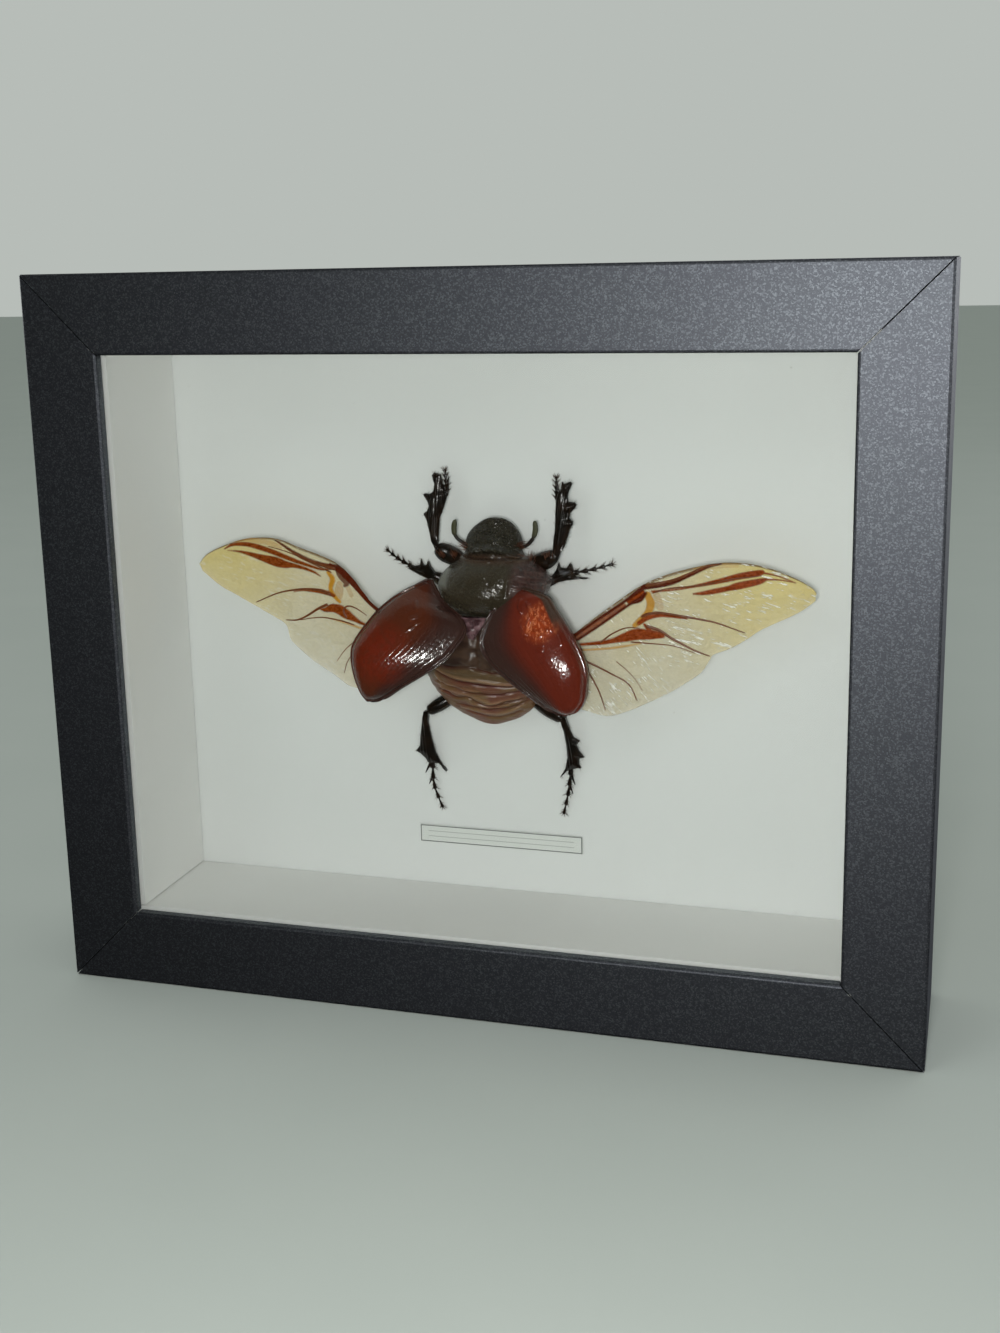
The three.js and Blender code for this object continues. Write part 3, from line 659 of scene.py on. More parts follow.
HIND_BODY = [
    (4.7, -0.5, 10.5, 1.6, 13.6), (2.5, -0.4, 13.6, 0.8, 15.2), (-1.5, -1.4, 15.2, 0.4, 16.0),
    (-6.0, -2.6, 15.8, 0.4, 15.6), (-10.0, -3.6, 15.9, 0.4, 14.4), (-13.5, -3.9, 15.1, 0.4, 12.8),
    (-17.2, -3.5, 13.2, 0.6, 10.8), (-20.2, -2.8, 11.3, 1.2, 8.8), (-22.7, -2.4, 7.6, 2.2, 6.8),
    (-24.6, -2.6, 2.8, 3.2, 5.2)]
# Creases and folds are across, up and half width along a path, and how strong the mark is
# The dark creases are dark red joints between the plates; the first path, along the thorax's rear edge, is a
# painted shadow.
DARK_JOINTS_AND_SHADOW = [
    ([
        (-16.0, -7.4, 0.3), (-13.2, -7.8, 0.4), (-9.1, -7.8, 0.35), (-5.1, -7.2, 0.3), (-3.3, -7.8, 0.35),
        (-0.2, -8.5, 0.35), (3.0, -8.8, 0.3)], 1.0),
    ([
        (-15.5, -9.3, 0.2), (-13.8, -10.0, 0.25), (-9.8, -11.5, 0.3), (-6.1, -11.9, 0.35),
        (-2.4, -12.4, 0.45), (0.3, -12.6, 0.4), (3.4, -12.8, 0.3), (7.0, -12.6, 0.2)], 1.0),
    ([
        (-15.2, -12.2, 0.2), (-12.5, -13.1, 0.2), (-9.3, -13.7, 0.3), (-6.7, -14.7, 0.25),
        (-2.4, -15.1, 0.3), (1.3, -15.2, 0.3), (4.4, -14.5, 0.3), (8.0, -13.9, 0.2)], 0.9),
    ([
        (-15.2, -14.6, 0.2), (-12.6, -15.4, 0.25), (-10.2, -16.6, 0.25), (-7.2, -16.2, 0.2),
        (-5.1, -17.4, 0.3), (-3.0, -18.5, 0.3), (-0.4, -18.6, 0.25), (2.8, -17.5, 0.3), (5.2, -17.0, 0.3),
        (9.1, -16.3, 0.2)], 0.9),
    ([
        (-10.6, -18.6, 0.15), (-7.9, -18.9, 0.2), (-5.2, -19.3, 0.25), (-2.5, -19.8, 0.3),
        (1.2, -19.4, 0.3), (3.8, -18.9, 0.25), (6.5, -17.9, 0.25), (8.4, -16.6, 0.2)], 0.85),
    ([
        (-8.2, -20.6, 0.15), (-5.0, -21.5, 0.2), (-1.0, -22.2, 0.25), (3.0, -21.3, 0.2),
        (6.4, -19.8, 0.15)], 0.7)]
# Pale folds are pale crests; the first and the fourth path are painted highlights along glossy ridges.
PALE_FOLDS_AND_HIGHLIGHTS = [
    ([
        (-15.0, -8.9, 0.2), (-10.6, -10.3, 0.25), (-7.1, -10.8, 0.3), (-2.9, -11.1, 0.35),
        (0.0, -11.7, 0.4), (2.4, -12.0, 0.35), (5.5, -12.3, 0.2)], 1.0),
    ([(-14.6, -12.9, 0.25), (-10.9, -13.1, 0.3), (-8.0, -13.9, 0.3), (-4.0, -14.4, 0.2)], 0.8),
    ([
        (-14.2, -14.0, 0.2), (-11.4, -14.8, 0.35), (-8.0, -15.3, 0.3), (-4.6, -16.4, 0.3),
        (-1.6, -17.3, 0.2)], 0.7),
    ([(-2.9, -18.2, 0.15), (-0.4, -17.8, 0.3), (2.3, -16.9, 0.2), (6.0, -16.2, 0.15)], 1.0),
    ([(-7.2, -18.0, 0.15), (-4.2, -18.8, 0.25), (-0.6, -19.0, 0.25), (3.6, -18.2, 0.2)], 0.6),
    ([
        (-9.6, -19.5, 0.15), (-5.7, -20.4, 0.25), (-2.6, -21.0, 0.3), (0.6, -21.0, 0.3), (3.8, -20.0, 0.25),
        (7.0, -18.2, 0.2)], 0.8),
    ([(-15.4, -10.2, 0.25), (-14.4, -12.0, 0.35), (-14.1, -13.6, 0.3), (-14.7, -15.6, 0.2)], 0.9)]


def mark_amount(flat, marks, fade):
    """The strongest of several creases or folds at each point."""
    return np.max([band_amount(flat, path, strength, fade) for path, strength in marks], 0)


def hind_relief(point, u, v):
    dark = mark_amount(point[:, :2], DARK_JOINTS_AND_SHADOW, 0.7)
    pale = mark_amount(point[:, :2], PALE_FOLDS_AND_HIGHLIGHTS, 0.9)
    fold = np.stack([point[:, 0] * 0.2, point[:, 1] + 0.05 * point[:, 0], point[:, 2] * 0.2], 1)
    folds = 0.22 * hills(fold, 1.0, 3.0) + 0.10 * hills(fold, 0.5, 7.0)
    thorax = np.clip((point[:, 1] + 8.6) / 1.6, 0, 1)
    lumps = 0.5 * hills(point, 2.2, 5.0) * thorax
    middle = -0.9 * np.exp(-((point[:, 0] + 3.2) / 1.2) ** 2) * thorax
    knob = bump_at(point, 0.9, -8.3, 0.8, 0.7)
    return 0.5 * pale - 0.6 * dark + folds * (1 - 0.5 * thorax) + lumps + middle + knob - 0.2


hind_body = trunk_piece("beetle_hind_body", HIND_BODY, 240, 260, hind_relief, 4.75, -24.9)
body_points = measured(hind_body)
on_top = body_points[:, 2] > UNDERSIDE_TOP
give(hind_body, "dark_joint_and_shadow", mark_amount(body_points[:, :2], DARK_JOINTS_AND_SHADOW, 0.5) * on_top)
give(hind_body, "pale_fold_and_highlight", mark_amount(body_points[:, :2], PALE_FOLDS_AND_HIGHLIGHTS, 0.7) * on_top)
print("trunk shells:", head.name, pronotum.name, hind_body.name)

# %% [markdown]
# Beetle skin is never one colour. The head and pronotum are an olive black with a low gloss, a little
# browner at the sides. The grains catch the lamp, and their tops are painted lighter as well, which is a
# painted highlight. A pale grey patch at the pronotum's left rear is a painted glint. The pronotum's right
# side is a wrinkled lobe of purple brown, and the hollows of its wrinkles are painted darker, which is
# painted shade. The hind body is brown, with dark red creases and pale folds that its own points carry.
# The crease along the thorax's rear edge is a painted shadow, and two of the pale folds are painted
# highlights.

# %% Skin finishes
def dark_skin():
    f = Finish("granular_black_skin")
    x, _, z = f.axes()
    grain = f.grain(0.32, 3.0, 0.65)
    cloud = f.grain(3.5, 3.0)
    colour = f.colours(cloud, rgb(39, 34, 26), rgb(59, 51, 39))
    colour = f.colours(grain.between(0.35, 0.75) * 0.4, colour, rgb(66, 62, 48))
    colour = f.colours(z.between(0.0200, 0.0215) * 0.6, colour, rgb(22, 22, 17))
    lobe = x.between(0.0055, 0.0085) * z.between(0.0205, 0.0185)
    colour = f.colours(lobe, colour, f.colours(cloud, rgb(62, 42, 39), rgb(88, 64, 59)))
    # A pale grey patch at the left rear of the pronotum: a painted glint on its edge.
    left = x.between(-0.0092, -0.0112) * z.between(0.0120, 0.0138)
    colour = f.colours(left * 0.8, colour, rgb(112, 112, 104))
    neck = z.between(0.0222, 0.0205) * z.between(0.0185, 0.0205)
    colour = f.colours(neck * 0.35, colour, rgb(80, 48, 36))
    # The grains' tops are painted lighter, a painted highlight; the same cells also raise the grains in the
    # bump.
    beads_and_painted_highlight = f.cells(0.5).between(0.1, 0.55, 1.0, 0.0) * (1 - lobe)
    colour = f.colours(beads_and_painted_highlight * 0.36, colour, rgb(80, 73, 58))
    wrinkle = f.grain(1.2, 3.0, 0.7, f.stretched((1.0, 1.0, 0.35)))
    # The hollows of the lobe's wrinkles are painted darker: painted shade.
    colour = f.colours(lobe * wrinkle.between(0.62, 0.35) * 0.7, colour, rgb(36, 25, 22))
    height = beads_and_painted_highlight + grain * 0.5 + lobe * wrinkle * 6.0
    gloss = (x - 0.0036) * (x - 0.0036) + (z - 0.0130) * (z - 0.0130)
    rough = 0.16 + grain * 0.16 - gloss.between(0.0, 0.000012, 0.09, 0.0)
    return f.surface({"Base Color": colour, "Roughness": rough, "Normal": f.bump(height, 0.06, 0.8)})


def abdomen_skin():
    f = Finish("wrinkled_brown_skin")
    x, _, z = f.axes()
    dark = f.node("ShaderNodeAttribute", {"attribute_name": "dark_joint_and_shadow"}, out="Fac")
    pale = f.node("ShaderNodeAttribute", {"attribute_name": "pale_fold_and_highlight"}, out="Fac")
    fine = f.grain(0.35, 3.0, 0.7, f.stretched((0.3, 1.0, 1.0)))
    broad = f.grain(3.2, 2.0, 0.5, f.stretched((0.45, 1.0, 1.0)))
    colour = f.colours(broad.between(0.38, 0.62), rgb(108, 66, 50), rgb(110, 82, 50))
    upper = z.between(-0.0125, -0.0100)
    colour = f.colours(upper * 0.8, colour, rgb(86, 70, 48))
    colour = f.colours(fine.between(0.45, 0.75) * 0.35, colour, rgb(130, 98, 72))
    # Pale crests, and painted highlights along the first and fourth fold paths.
    colour = f.colours(pale * 0.7, colour, rgb(160, 124, 94))
    # Dark red joints, and a painted shadow along the thorax's rear edge.
    colour = f.colours(dark * 0.9, colour, f.colours(broad, rgb(84, 22, 20), rgb(58, 26, 20)))
    thorax = z.between(-0.0088, -0.0072)
    thorax_colour = f.colours(broad.between(0.4, 0.6), rgb(48, 32, 26), rgb(78, 58, 46))
    colour = f.colours(thorax * 0.95, colour, thorax_colour)
    side = abs(x + 0.003).between(0.0125, 0.0155)
    colour = f.colours(side * 0.5, colour, rgb(84, 50, 34))
    rough = 0.24 + fine * 0.22
    return f.surface({"Base Color": colour, "Roughness": rough, "Normal": f.bump(fine, 0.08, 0.6)})


black_skin = dark_skin()
brown_skin = abdomen_skin()
finish_piece(head, black_skin, "dark_cuticle", "head")
finish_piece(pronotum, black_skin, "dark_cuticle", "pronotum")
finish_piece(hind_body, brown_skin, "abdomen_cuticle", "hind_body")

# %% [markdown]
# The scutellum is the little three-cornered shield between the wing cases: a thin plate, dented in the
# middle, with a pale raised rim. It is a grid between its two long sides, thickened afterwards.

# %% Scutellum
SHIELD_LEFT = [(-7.2, 6.1), (-6.2, 4.4), (-5.0, 2.4), (-4.0, 0.6)]
SHIELD_RIGHT = [(0.7, 6.2), (-0.5, 4.4), (-1.9, 2.4), (-3.2, 0.5)]


def shield_rule(u, v):
    left, right = even_rows(SHIELD_LEFT, u), even_rows(SHIELD_RIGHT, u)
    p = left + (right - left) * v[:, None]
    width = np.linalg.norm(right - left, axis=1)
    edge = np.minimum(np.minimum(v, 1 - v) * width, u * 5.0)
    dome = 0.55 * np.sin(math.pi * np.clip(v, 0, 1)) * (1 - 0.4 * u)
    rim = 0.22 * np.exp(-(edge / 0.3) ** 2)
    flat = np.stack([p[:, 0], p[:, 1], np.zeros_like(u)], 1)
    return np.stack([p[:, 0], p[:, 1], 16.7 + dome + rim + 0.22 * hills(flat, 1.1)], 1)


def shield_skin():
    f = Finish("shield_skin")
    fine = f.grain(0.4, 3.0, 0.7)
    colour = f.colours(f.grain(1.6, 2.0).between(0.35, 0.65), rgb(62, 36, 40), rgb(122, 92, 96))
    normal = f.bump(fine, 0.08, 0.6)
    return f.surface({"Base Color": colour, "Roughness": 0.2 + fine * 0.2, "Normal": normal})


shield, _, _ = grid_piece("beetle_scutellum", 70, 60, shield_rule)
face_forward(shield)
thicken(shield, 0.8)
finish_piece(shield, shield_skin(), "abdomen_cuticle", "scutellum")

# %% [markdown]
# A wing case is a hard, glossy half shell whose back climbs from the shoulder to the tip. It has a raised
# bead round its edge, fine grooves on its inner half, a few folds near the shoulder and a fine crackle. All
# of that is in the points of the grid. Lifting a point moves it along its line to the camera, so the
# outline stays the measured one. The colour goes from red brown on the back of the dome to a dark purple
# brown at the inner side, and follows the shell, so it reads the grid's own map.

# %% Wing cases
DOME_TOP = 0.4
INNER_SHARE = 0.48
GROOVES = 16
MEASURED_BASE, MEASURED_TIP = 19.0, 18.0
CLIMB_START = 0.1
TIP_DROP = 1.2
CASE_LENGTH = 36.0
CASE_WALL = 0.7
GROOVE_DEPTH = 0.065
FOLD_LIFT, FOLD_FADE = 1.15, 0.75
# The camera's place as across, up and height in millimetres
EYE = (116.6, 91.5, 388.8)
LEFT_CASE_OUTER = [(-13.9, 16.0), (-21.1, 12.6), (-26.7, 8.5), (-31.0, 3.8), (-34.5, -1.1), (-35.2, -5.1),
                   (-34.6, -9.9), (-33.1, -14.1), (-31.3, -16.3)]
LEFT_CASE_INNER = [(-12.9, 15.8), (-11.4, 13.0), (-8.8, 9.0), (-5.7, 6.5), (-4.2, 3.0), (-6.7, -1.1),
                   (-10.9, -5.5), (-20.6, -11.8), (-26.2, -15.4), (-29.8, -16.5)]
RIGHT_CASE_OUTER = [(9.7, 14.6), (16.6, 13.1), (19.2, 9.8), (22.8, 4.2), (25.4, -0.8), (26.8, -5.1),
                    (26.7, -9.4), (26.1, -12.9), (24.3, -15.9), (21.4, -17.0)]
RIGHT_CASE_INNER = [(7.6, 13.4), (4.3, 10.4), (1.3, 6.8), (-0.6, 2.6), (-1.0, -0.3), (0.4, -3.8),
                    (4.8, -8.3), (13.0, -14.3), (17.1, -16.4), (20.0, -17.1)]


def along_sight(x, z, from_height, to_height):
    """Lifts a point along its line to the camera, so that it keeps its place in the view."""
    share = (to_height - from_height) / (EYE[2] - from_height)
    return x + (EYE[0] - x) * share, z + (EYE[1] - z) * share


def case_rule(outer, inner, base, rise, dome, folds):
    """A quarter-round shell, steep at its outer edge, nearly level at its inner edge, with a lifted tip."""
    def rule(u, v):
        a, b = even_rows(outer, u), even_rows(inner, u)
        p = a + (b - a) * v[:, None]
        width = np.linalg.norm(b - a, axis=1)
        length = np.sin(math.pi / 2 * np.minimum(1, u / 0.62)) ** 0.9
        length = length * (1 - 0.65 * np.clip((u - 0.55) / 0.45, 0, 1) ** 2)
        side = np.sqrt(np.clip(1 - (1 - np.minimum(v / DOME_TOP, 1)) ** 2, 0, 1))
        side = side * (1 - (1 - INNER_SHARE) * np.clip((v - DOME_TOP) / (1 - DOME_TOP), 0, 1) ** 2)
        climb = np.clip((u - CLIMB_START) / (1 - CLIMB_START), 0, 1)
        climb = 0.5 * climb ** 2 * (3 - 2 * climb) + 0.5 * (1 - (1 - climb) ** 2)
        level = base + rise * climb - TIP_DROP * np.clip((u - 0.88) / 0.12, 0, 1) ** 2
        edge_height = level + INNER_SHARE * dome * length * v
        measured_height = MEASURED_BASE + (MEASURED_TIP - MEASURED_BASE) * u
        x, z = along_sight(p[:, 0], p[:, 1], measured_height, edge_height)
        height = level + dome * length * side
        edge = np.minimum(v, 1 - v) * width
        ends = np.minimum(u, 1 - u) * CASE_LENGTH
        near = np.minimum(edge, ends)
        bead = 0.42 * np.exp(-((near - 0.25) / 0.34) ** 2) - 0.28 * np.exp(-((near - 0.95) / 0.3) ** 2)
        lane = v * GROOVES
        groove = np.exp(-(((lane + 0.5) % 1.0 - 0.5) / 0.11) ** 2)
        inner_half = np.clip((v - 0.35) / 0.2, 0.1, 1) * np.clip((u - 0.15) / 0.2, 0, 1)
        groove = groove * inner_half * (v > 0.06) * (v < 0.96)
        flat = np.stack([p[:, 0], p[:, 1], np.zeros_like(u)], 1)
        height = height + bead - GROOVE_DEPTH * groove
        height = height + 0.08 * hills(flat, 4.5) + 0.032 * hills(flat, 0.75, 2.0)
        for path, lift in folds:
            fold = FOLD_LIFT * lift * band_amount(p, path, 1.0, FOLD_FADE)
            height = height + fold * (0.9 + 0.3 * hills(flat, 0.9, 5.0))
        return np.stack([x, z, height], 1)
    return rule


def case_skin(name, centre, edge_colour, inner_colour, hot_colour, hot_place, strip):
    """Hot place is across, up and reach of the glow. Strip is the width of the dull strip outside, and a
    strip also brings the painted glints.
    """
    f = Finish(name)
    x, _, z = f.axes()
    shell = f.node("ShaderNodeTexCoord", out="UV")
    u, v, _ = f.axes(shell)
    fine = f.grain(0.45, 3.0, 0.7)
    mottle = f.grain(0.9, 3.0, 0.75)
    middle = v.between(-0.04, 0.12) * v.between(0.85, 0.5) * u.between(0.0, 0.14) * u.between(1.04, 0.86)
    colour = f.colours(middle, edge_colour, centre)
    colour = f.colours(v.between(0.5, 0.86), colour, inner_colour)
    hot_x, hot_z, reach = (value * MM for value in hot_place)
    near = (x - hot_x) * (x - hot_x) + (z - hot_z) * (z - hot_z)
    hot = near.between(0.0, reach * reach, 1.0, 0.0)
    colour = f.colours(hot * (0.5 + f.grain(1.3, 3.0, 0.7).between(0.35, 0.62) * 0.5), colour, hot_colour)
    if strip:
        # Bright orange streaks in the red patch are painted glints.
        painted_glint = f.grain(0.8, 3.0, 0.7, f.stretched((1.0, 1.0, 0.4))).between(0.52, 0.6)
        colour = f.colours(hot * painted_glint * 0.6, colour, rgb(234, 140, 90))
    colour = f.colours(mottle.between(0.5, 0.75) * 0.22, colour, rgb(40, 14, 12))
    if strip:
        outer_strip = v.between(strip + 0.03, strip) * u.between(0.42, 0.3)
        colour = f.colours(outer_strip, colour, f.colours(fine, rgb(52, 35, 28), rgb(88, 66, 54)))
    pit = f.cells(0.9).between(0.03, 0.16)
    crackle = f.cells(0.75, vector=f.stretched((1.0, 1.0, 0.6))).between(0.0, 0.45)
    height = fine * 0.4 + pit * 0.25 + crackle * 0.5 + f.grain(1.6, 2.0) * 0.8
    rough = 0.12 + mottle * 0.1
    sockets = {"Base Color": colour, "Roughness": rough, "Normal": f.bump(height, 0.07, 0.8)}
    sockets["Specular IOR Level"] = 0.75
    return f.surface(sockets)


def wing_case(name, outer, inner, base, rise, dome, folds, material, node):
    obj, _, _ = grid_piece(name, 220, 190, case_rule(outer, inner, base, rise, dome, folds))
    face_forward(obj)
    thicken(obj, CASE_WALL, -1.0)
    return finish_piece(obj, material, "wing_case", node)


LEFT_FOLDS = [
    ([(-16.2, 10.4, 0.3), (-16.1, 9.0, 0.35)], 0.45), ([(-17.6, 6.6, 0.2), (-15.8, 6.9, 0.25)], 0.3),
    ([(-18.6, 3.3, 0.15), (-15.2, 5.7, 0.2)], 0.25), ([(-12.6, 12.9, 0.3), (-10.8, 11.0, 0.2)], 0.35)]
RIGHT_FOLDS = [
    ([(12.1, 11.2, 0.2), (12.7, 9.3, 0.25), (12.8, 7.6, 0.25), (12.4, 5.9, 0.2)], 0.6),
    ([(12.9, 10.8, 0.15), (14.4, 8.5, 0.25), (15.5, 7.2, 0.3), (16.9, 5.9, 0.3), (17.5, 4.8, 0.2)], 0.6),
    ([(10.2, 11.6, 0.35), (10.0, 10.3, 0.4), (10.5, 9.0, 0.2)], 0.55),
    ([(13.7, 6.8, 0.15), (14.3, 5.2, 0.35), (15.3, 3.9, 0.3)], 0.6),
    ([(11.1, 5.5, 0.25), (11.8, 3.8, 0.3)], 0.5), ([(14.7, 0.2, 0.25), (15.9, 0.2, 0.25)], 0.4),
    ([(17.6, 8.6, 0.2), (19.4, 5.0, 0.2), (21.0, 1.6, 0.15)], 0.3),
    ([(15.6, 9.6, 0.2), (17.2, 7.4, 0.2), (18.3, 5.0, 0.15)], 0.3)]
left_skin = case_skin("left_case_skin", rgb(86, 40, 23), rgb(58, 29, 22), rgb(62, 41, 36), rgb(112, 35, 16),
                      (-24.5, -2.0, 9.5), 0.0)
right_skin = case_skin(
    "right_case_skin", rgb(104, 38, 24), rgb(74, 30, 22), rgb(62, 43, 38), rgb(160, 62, 26),
    (15.4, 6.6, 5.6), 0.10)
wing_case(
    "wing_case_left", LEFT_CASE_OUTER, LEFT_CASE_INNER, 13.5, 10.9, 6.5, LEFT_FOLDS, left_skin,
    "elytron_left")
wing_case("wing_case_right", RIGHT_CASE_OUTER, RIGHT_CASE_INNER, 17.1, 3.8, 5.6, RIGHT_FOLDS, right_skin,
          "elytron_right")

# %% [markdown]
# A flight wing is a thin, slightly crumpled membrane that is stiffened by veins. The membrane is a grid
# between its two edges. Wide veins and the brown patches near the tip are swellings of the membrane, and
# the grid's points carry how much of each there is, so the finish can colour them. The narrow veins are
# fine rods laid on it.

# %% Flight wing outlines and veins
LEFT_WING_OUTER = [(-17.4, -1.0), (-23.0, 2.6), (-30.2, 7.6), (-33.1, 10.9), (-36.3, 15.0), (-40.1, 18.2),
                   (-45.0, 20.2), (-50.4, 22.0), (-55.2, 23.7), (-59.7, 24.2), (-65.3, 23.7), (-71.4, 21.8),
                   (-76.8, 19.2), (-79.4, 16.5)]
LEFT_WING_INNER = [
    (-19.6, -11.0), (-28.0, -14.8), (-37.3, -14.7), (-42.6, -11.6), (-48.3, -8.1), (-52.2, -5.0),
    (-54.4, -2.6), (-55.2, 0.4), (-56.6, 2.0), (-60.0, 3.8), (-64.7, 6.2), (-69.2, 8.6), (-73.7, 10.9),
    (-78.6, 14.6)]
RIGHT_WING_OUTER = [(15.6, -2.4), (21.4, 2.0), (27.3, 6.7), (33.6, 11.5), (38.5, 15.0), (45.0, 18.1),
                    (52.0, 20.2), (57.0, 21.3), (61.0, 21.6), (66.0, 21.2), (70.7, 20.1), (76.2, 17.9),
                    (79.4, 16.1), (80.6, 14.8)]
RIGHT_WING_INNER = [(13.6, -11.0), (19.0, -15.6), (25.0, -17.4), (30.3, -18.3), (36.2, -16.4), (41.0, -14.0),
                    (46.0, -11.3), (50.0, -8.6), (53.4, -6.0), (55.6, -2.6), (56.4, -1.4), (60.7, 0.5),
                    (64.5, 2.9), (68.0, 5.4), (76.3, 9.7), (80.4, 12.8)]
WING_HEIGHT = 13.0
WING_ARCH = 1.2

# Bands are across, up and half width along a path, and how strong the band is
LEFT_BANDS = {
    "brown": [
        ([
            (-21.5, 0.8, 0.8), (-26.6, 4.4, 0.85), (-29.8, 7.0, 0.9), (-32.7, 9.7, 0.9),
            (-35.0, 12.4, 0.95), (-37.2, 14.7, 1.05), (-39.5, 16.5, 0.85), (-41.9, 17.8, 0.4)], 1.0),
        ([(-39.7, 16.8, 1.1), (-38.7, 15.1, 1.3), (-37.6, 13.2, 0.85), (-38.2, 12.3, 0.35)], 0.9),
        ([
            (-40.4, 17.0, 0.7), (-42.5, 17.3, 0.65), (-46.1, 18.2, 0.5), (-49.0, 19.3, 0.45),
            (-52.0, 20.8, 0.35), (-54.3, 22.3, 0.23), (-56.8, 23.5, 0.18)], 1.0)],
    "russet": [
        ([
            (-71.6, 20.8, 0.18), (-69.1, 22.0, 0.41), (-65.3, 22.2, 0.62), (-61.7, 21.6, 0.7),
            (-57.5, 20.4, 0.7), (-52.7, 18.7, 0.6), (-47.9, 17.3, 0.45), (-44.4, 16.4, 0.35),
            (-41.9, 16.6, 0.3)], 1.0),
        ([
            (-70.7, 20.4, 0.1), (-67.3, 20.2, 0.3), (-64.2, 19.6, 0.55), (-60.6, 18.7, 0.95),
            (-57.0, 17.9, 1.3), (-54.6, 17.3, 1.0), (-52.2, 17.1, 0.62), (-49.2, 16.5, 0.45),
            (-46.5, 15.6, 0.35), (-44.9, 14.6, 0.18)], 1.0),
        ([
            (-41.4, 9.6, 0.45), (-42.8, 10.1, 0.65), (-45.2, 10.6, 0.6), (-47.6, 10.6, 0.35),
            (-50.1, 10.6, 0.22), (-52.5, 10.2, 0.18)], 1.0),
        ([
            (-28.0, 1.0, 0.35), (-33.6, 2.5, 0.42), (-35.9, 3.6, 0.7), (-38.3, 4.9, 1.3),
            (-40.0, 5.9, 1.35), (-41.8, 6.2, 1.1), (-44.0, 5.7, 0.6), (-45.4, 5.9, 0.25)], 1.0),
        ([(-43.0, 6.5, 0.5), (-41.6, 7.3, 0.25)], 1.0)],
    "amber": [
        ([
            (-42.6, 15.6, 0.5), (-41.5, 13.9, 0.75), (-42.2, 11.6, 0.6), (-41.4, 9.6, 0.6),
            (-39.9, 8.0, 0.45)], 1.0),
        ([(-39.6, 12.6, 0.9), (-39.9, 10.6, 1.2), (-40.2, 8.8, 0.8)], 0.5),
        ([(-37.4, 11.8, 0.7), (-36.6, 9.8, 0.6)], 0.4),
        ([
            (-69.0, 22.9, 0.3), (-65.3, 23.4, 0.45), (-61.6, 23.2, 0.75), (-58.5, 22.8, 0.75),
            (-55.5, 21.9, 0.55)], 0.45),
        ([(-28.5, 0.2, 0.25), (-34.3, 1.3, 0.3), (-38.7, 2.6, 0.3), (-42.5, 3.4, 0.2)], 0.8)]}
RIGHT_BANDS = {
    "brown": [
        ([
            (19.0, -0.2, 0.5), (24.0, 3.4, 0.36), (28.8, 6.9, 0.36), (34.9, 11.3, 0.38), (38.7, 14.2, 0.5),
            (40.5, 14.9, 0.5)], 1.0),
        ([
            (19.5, -1.4, 0.32), (24.0, 1.7, 0.32), (28.8, 5.1, 0.32), (33.5, 8.6, 0.32), (36.4, 10.7, 0.36),
            (38.6, 11.7, 0.6), (40.0, 13.4, 0.4)], 1.0),
        ([
            (39.5, 14.9, 0.7), (43.0, 15.4, 0.6), (46.5, 16.2, 0.5), (50.7, 18.2, 0.45), (55.1, 20.4, 0.35),
            (58.1, 21.3, 0.25)], 1.0)],
    "russet": [
        ([(19.2, -0.8, 0.5), (28.8, 6.0, 0.7), (34.4, 10.0, 0.8)], 0.9),
        ([(36.0, 11.3, 0.8), (37.8, 12.3, 1.1), (39.1, 13.6, 0.8)], 1.0),
        ([
            (41.6, 13.9, 0.3), (47.7, 14.6, 0.25), (51.3, 15.4, 0.32), (54.8, 16.2, 0.48),
            (59.0, 17.3, 0.65), (63.2, 18.4, 0.8), (66.7, 19.1, 0.8), (67.9, 19.4, 0.6)], 1.0),
        ([(68.0, 19.3, 0.24), (71.6, 18.6, 0.16), (75.7, 17.1, 0.12)], 1.0),
        ([
            (51.6, 13.6, 0.2), (54.1, 13.9, 0.5), (56.9, 14.5, 0.65), (59.8, 15.2, 0.65),
            (61.9, 15.8, 0.85), (64.6, 16.5, 0.85), (67.4, 17.2, 0.7), (68.8, 17.7, 0.35)], 1.0),
        ([(68.1, 17.6, 0.24), (71.6, 17.7, 0.16), (75.0, 17.3, 0.12)], 1.0),
        ([(38.3, 5.9, 0.5), (40.5, 7.3, 0.6), (43.4, 8.0, 0.5), (46.3, 7.9, 0.38), (49.9, 7.5, 0.28)], 1.0),
        ([
            (19.5, -0.9, 0.3), (23.5, -0.3, 0.36), (28.0, 0.3, 0.5), (31.7, 1.1, 0.65), (34.7, 2.1, 1.15),
            (37.6, 3.0, 1.45), (40.5, 3.1, 1.3), (42.7, 3.1, 1.0), (44.1, 2.9, 0.6)], 1.0),
        ([(40.8, 4.2, 0.6), (39.6, 5.6, 0.3)], 1.0)],
    "amber": [
        ([
            (40.5, 13.0, 0.85), (41.2, 10.8, 1.0), (40.5, 8.6, 0.85), (38.7, 6.5, 0.85),
            (37.2, 5.2, 0.6)], 0.95),
        ([(42.7, 12.7, 1.0), (43.4, 10.2, 1.0)], 0.42),
        ([(52.0, 19.6, 0.5), (57.0, 20.6, 0.6), (62.0, 20.8, 0.4)], 0.35),
        ([(20.5, -2.0, 0.25), (28.5, -1.2, 0.3), (34.0, -0.3, 0.3), (38.5, 0.7, 0.2)], 0.8)]}
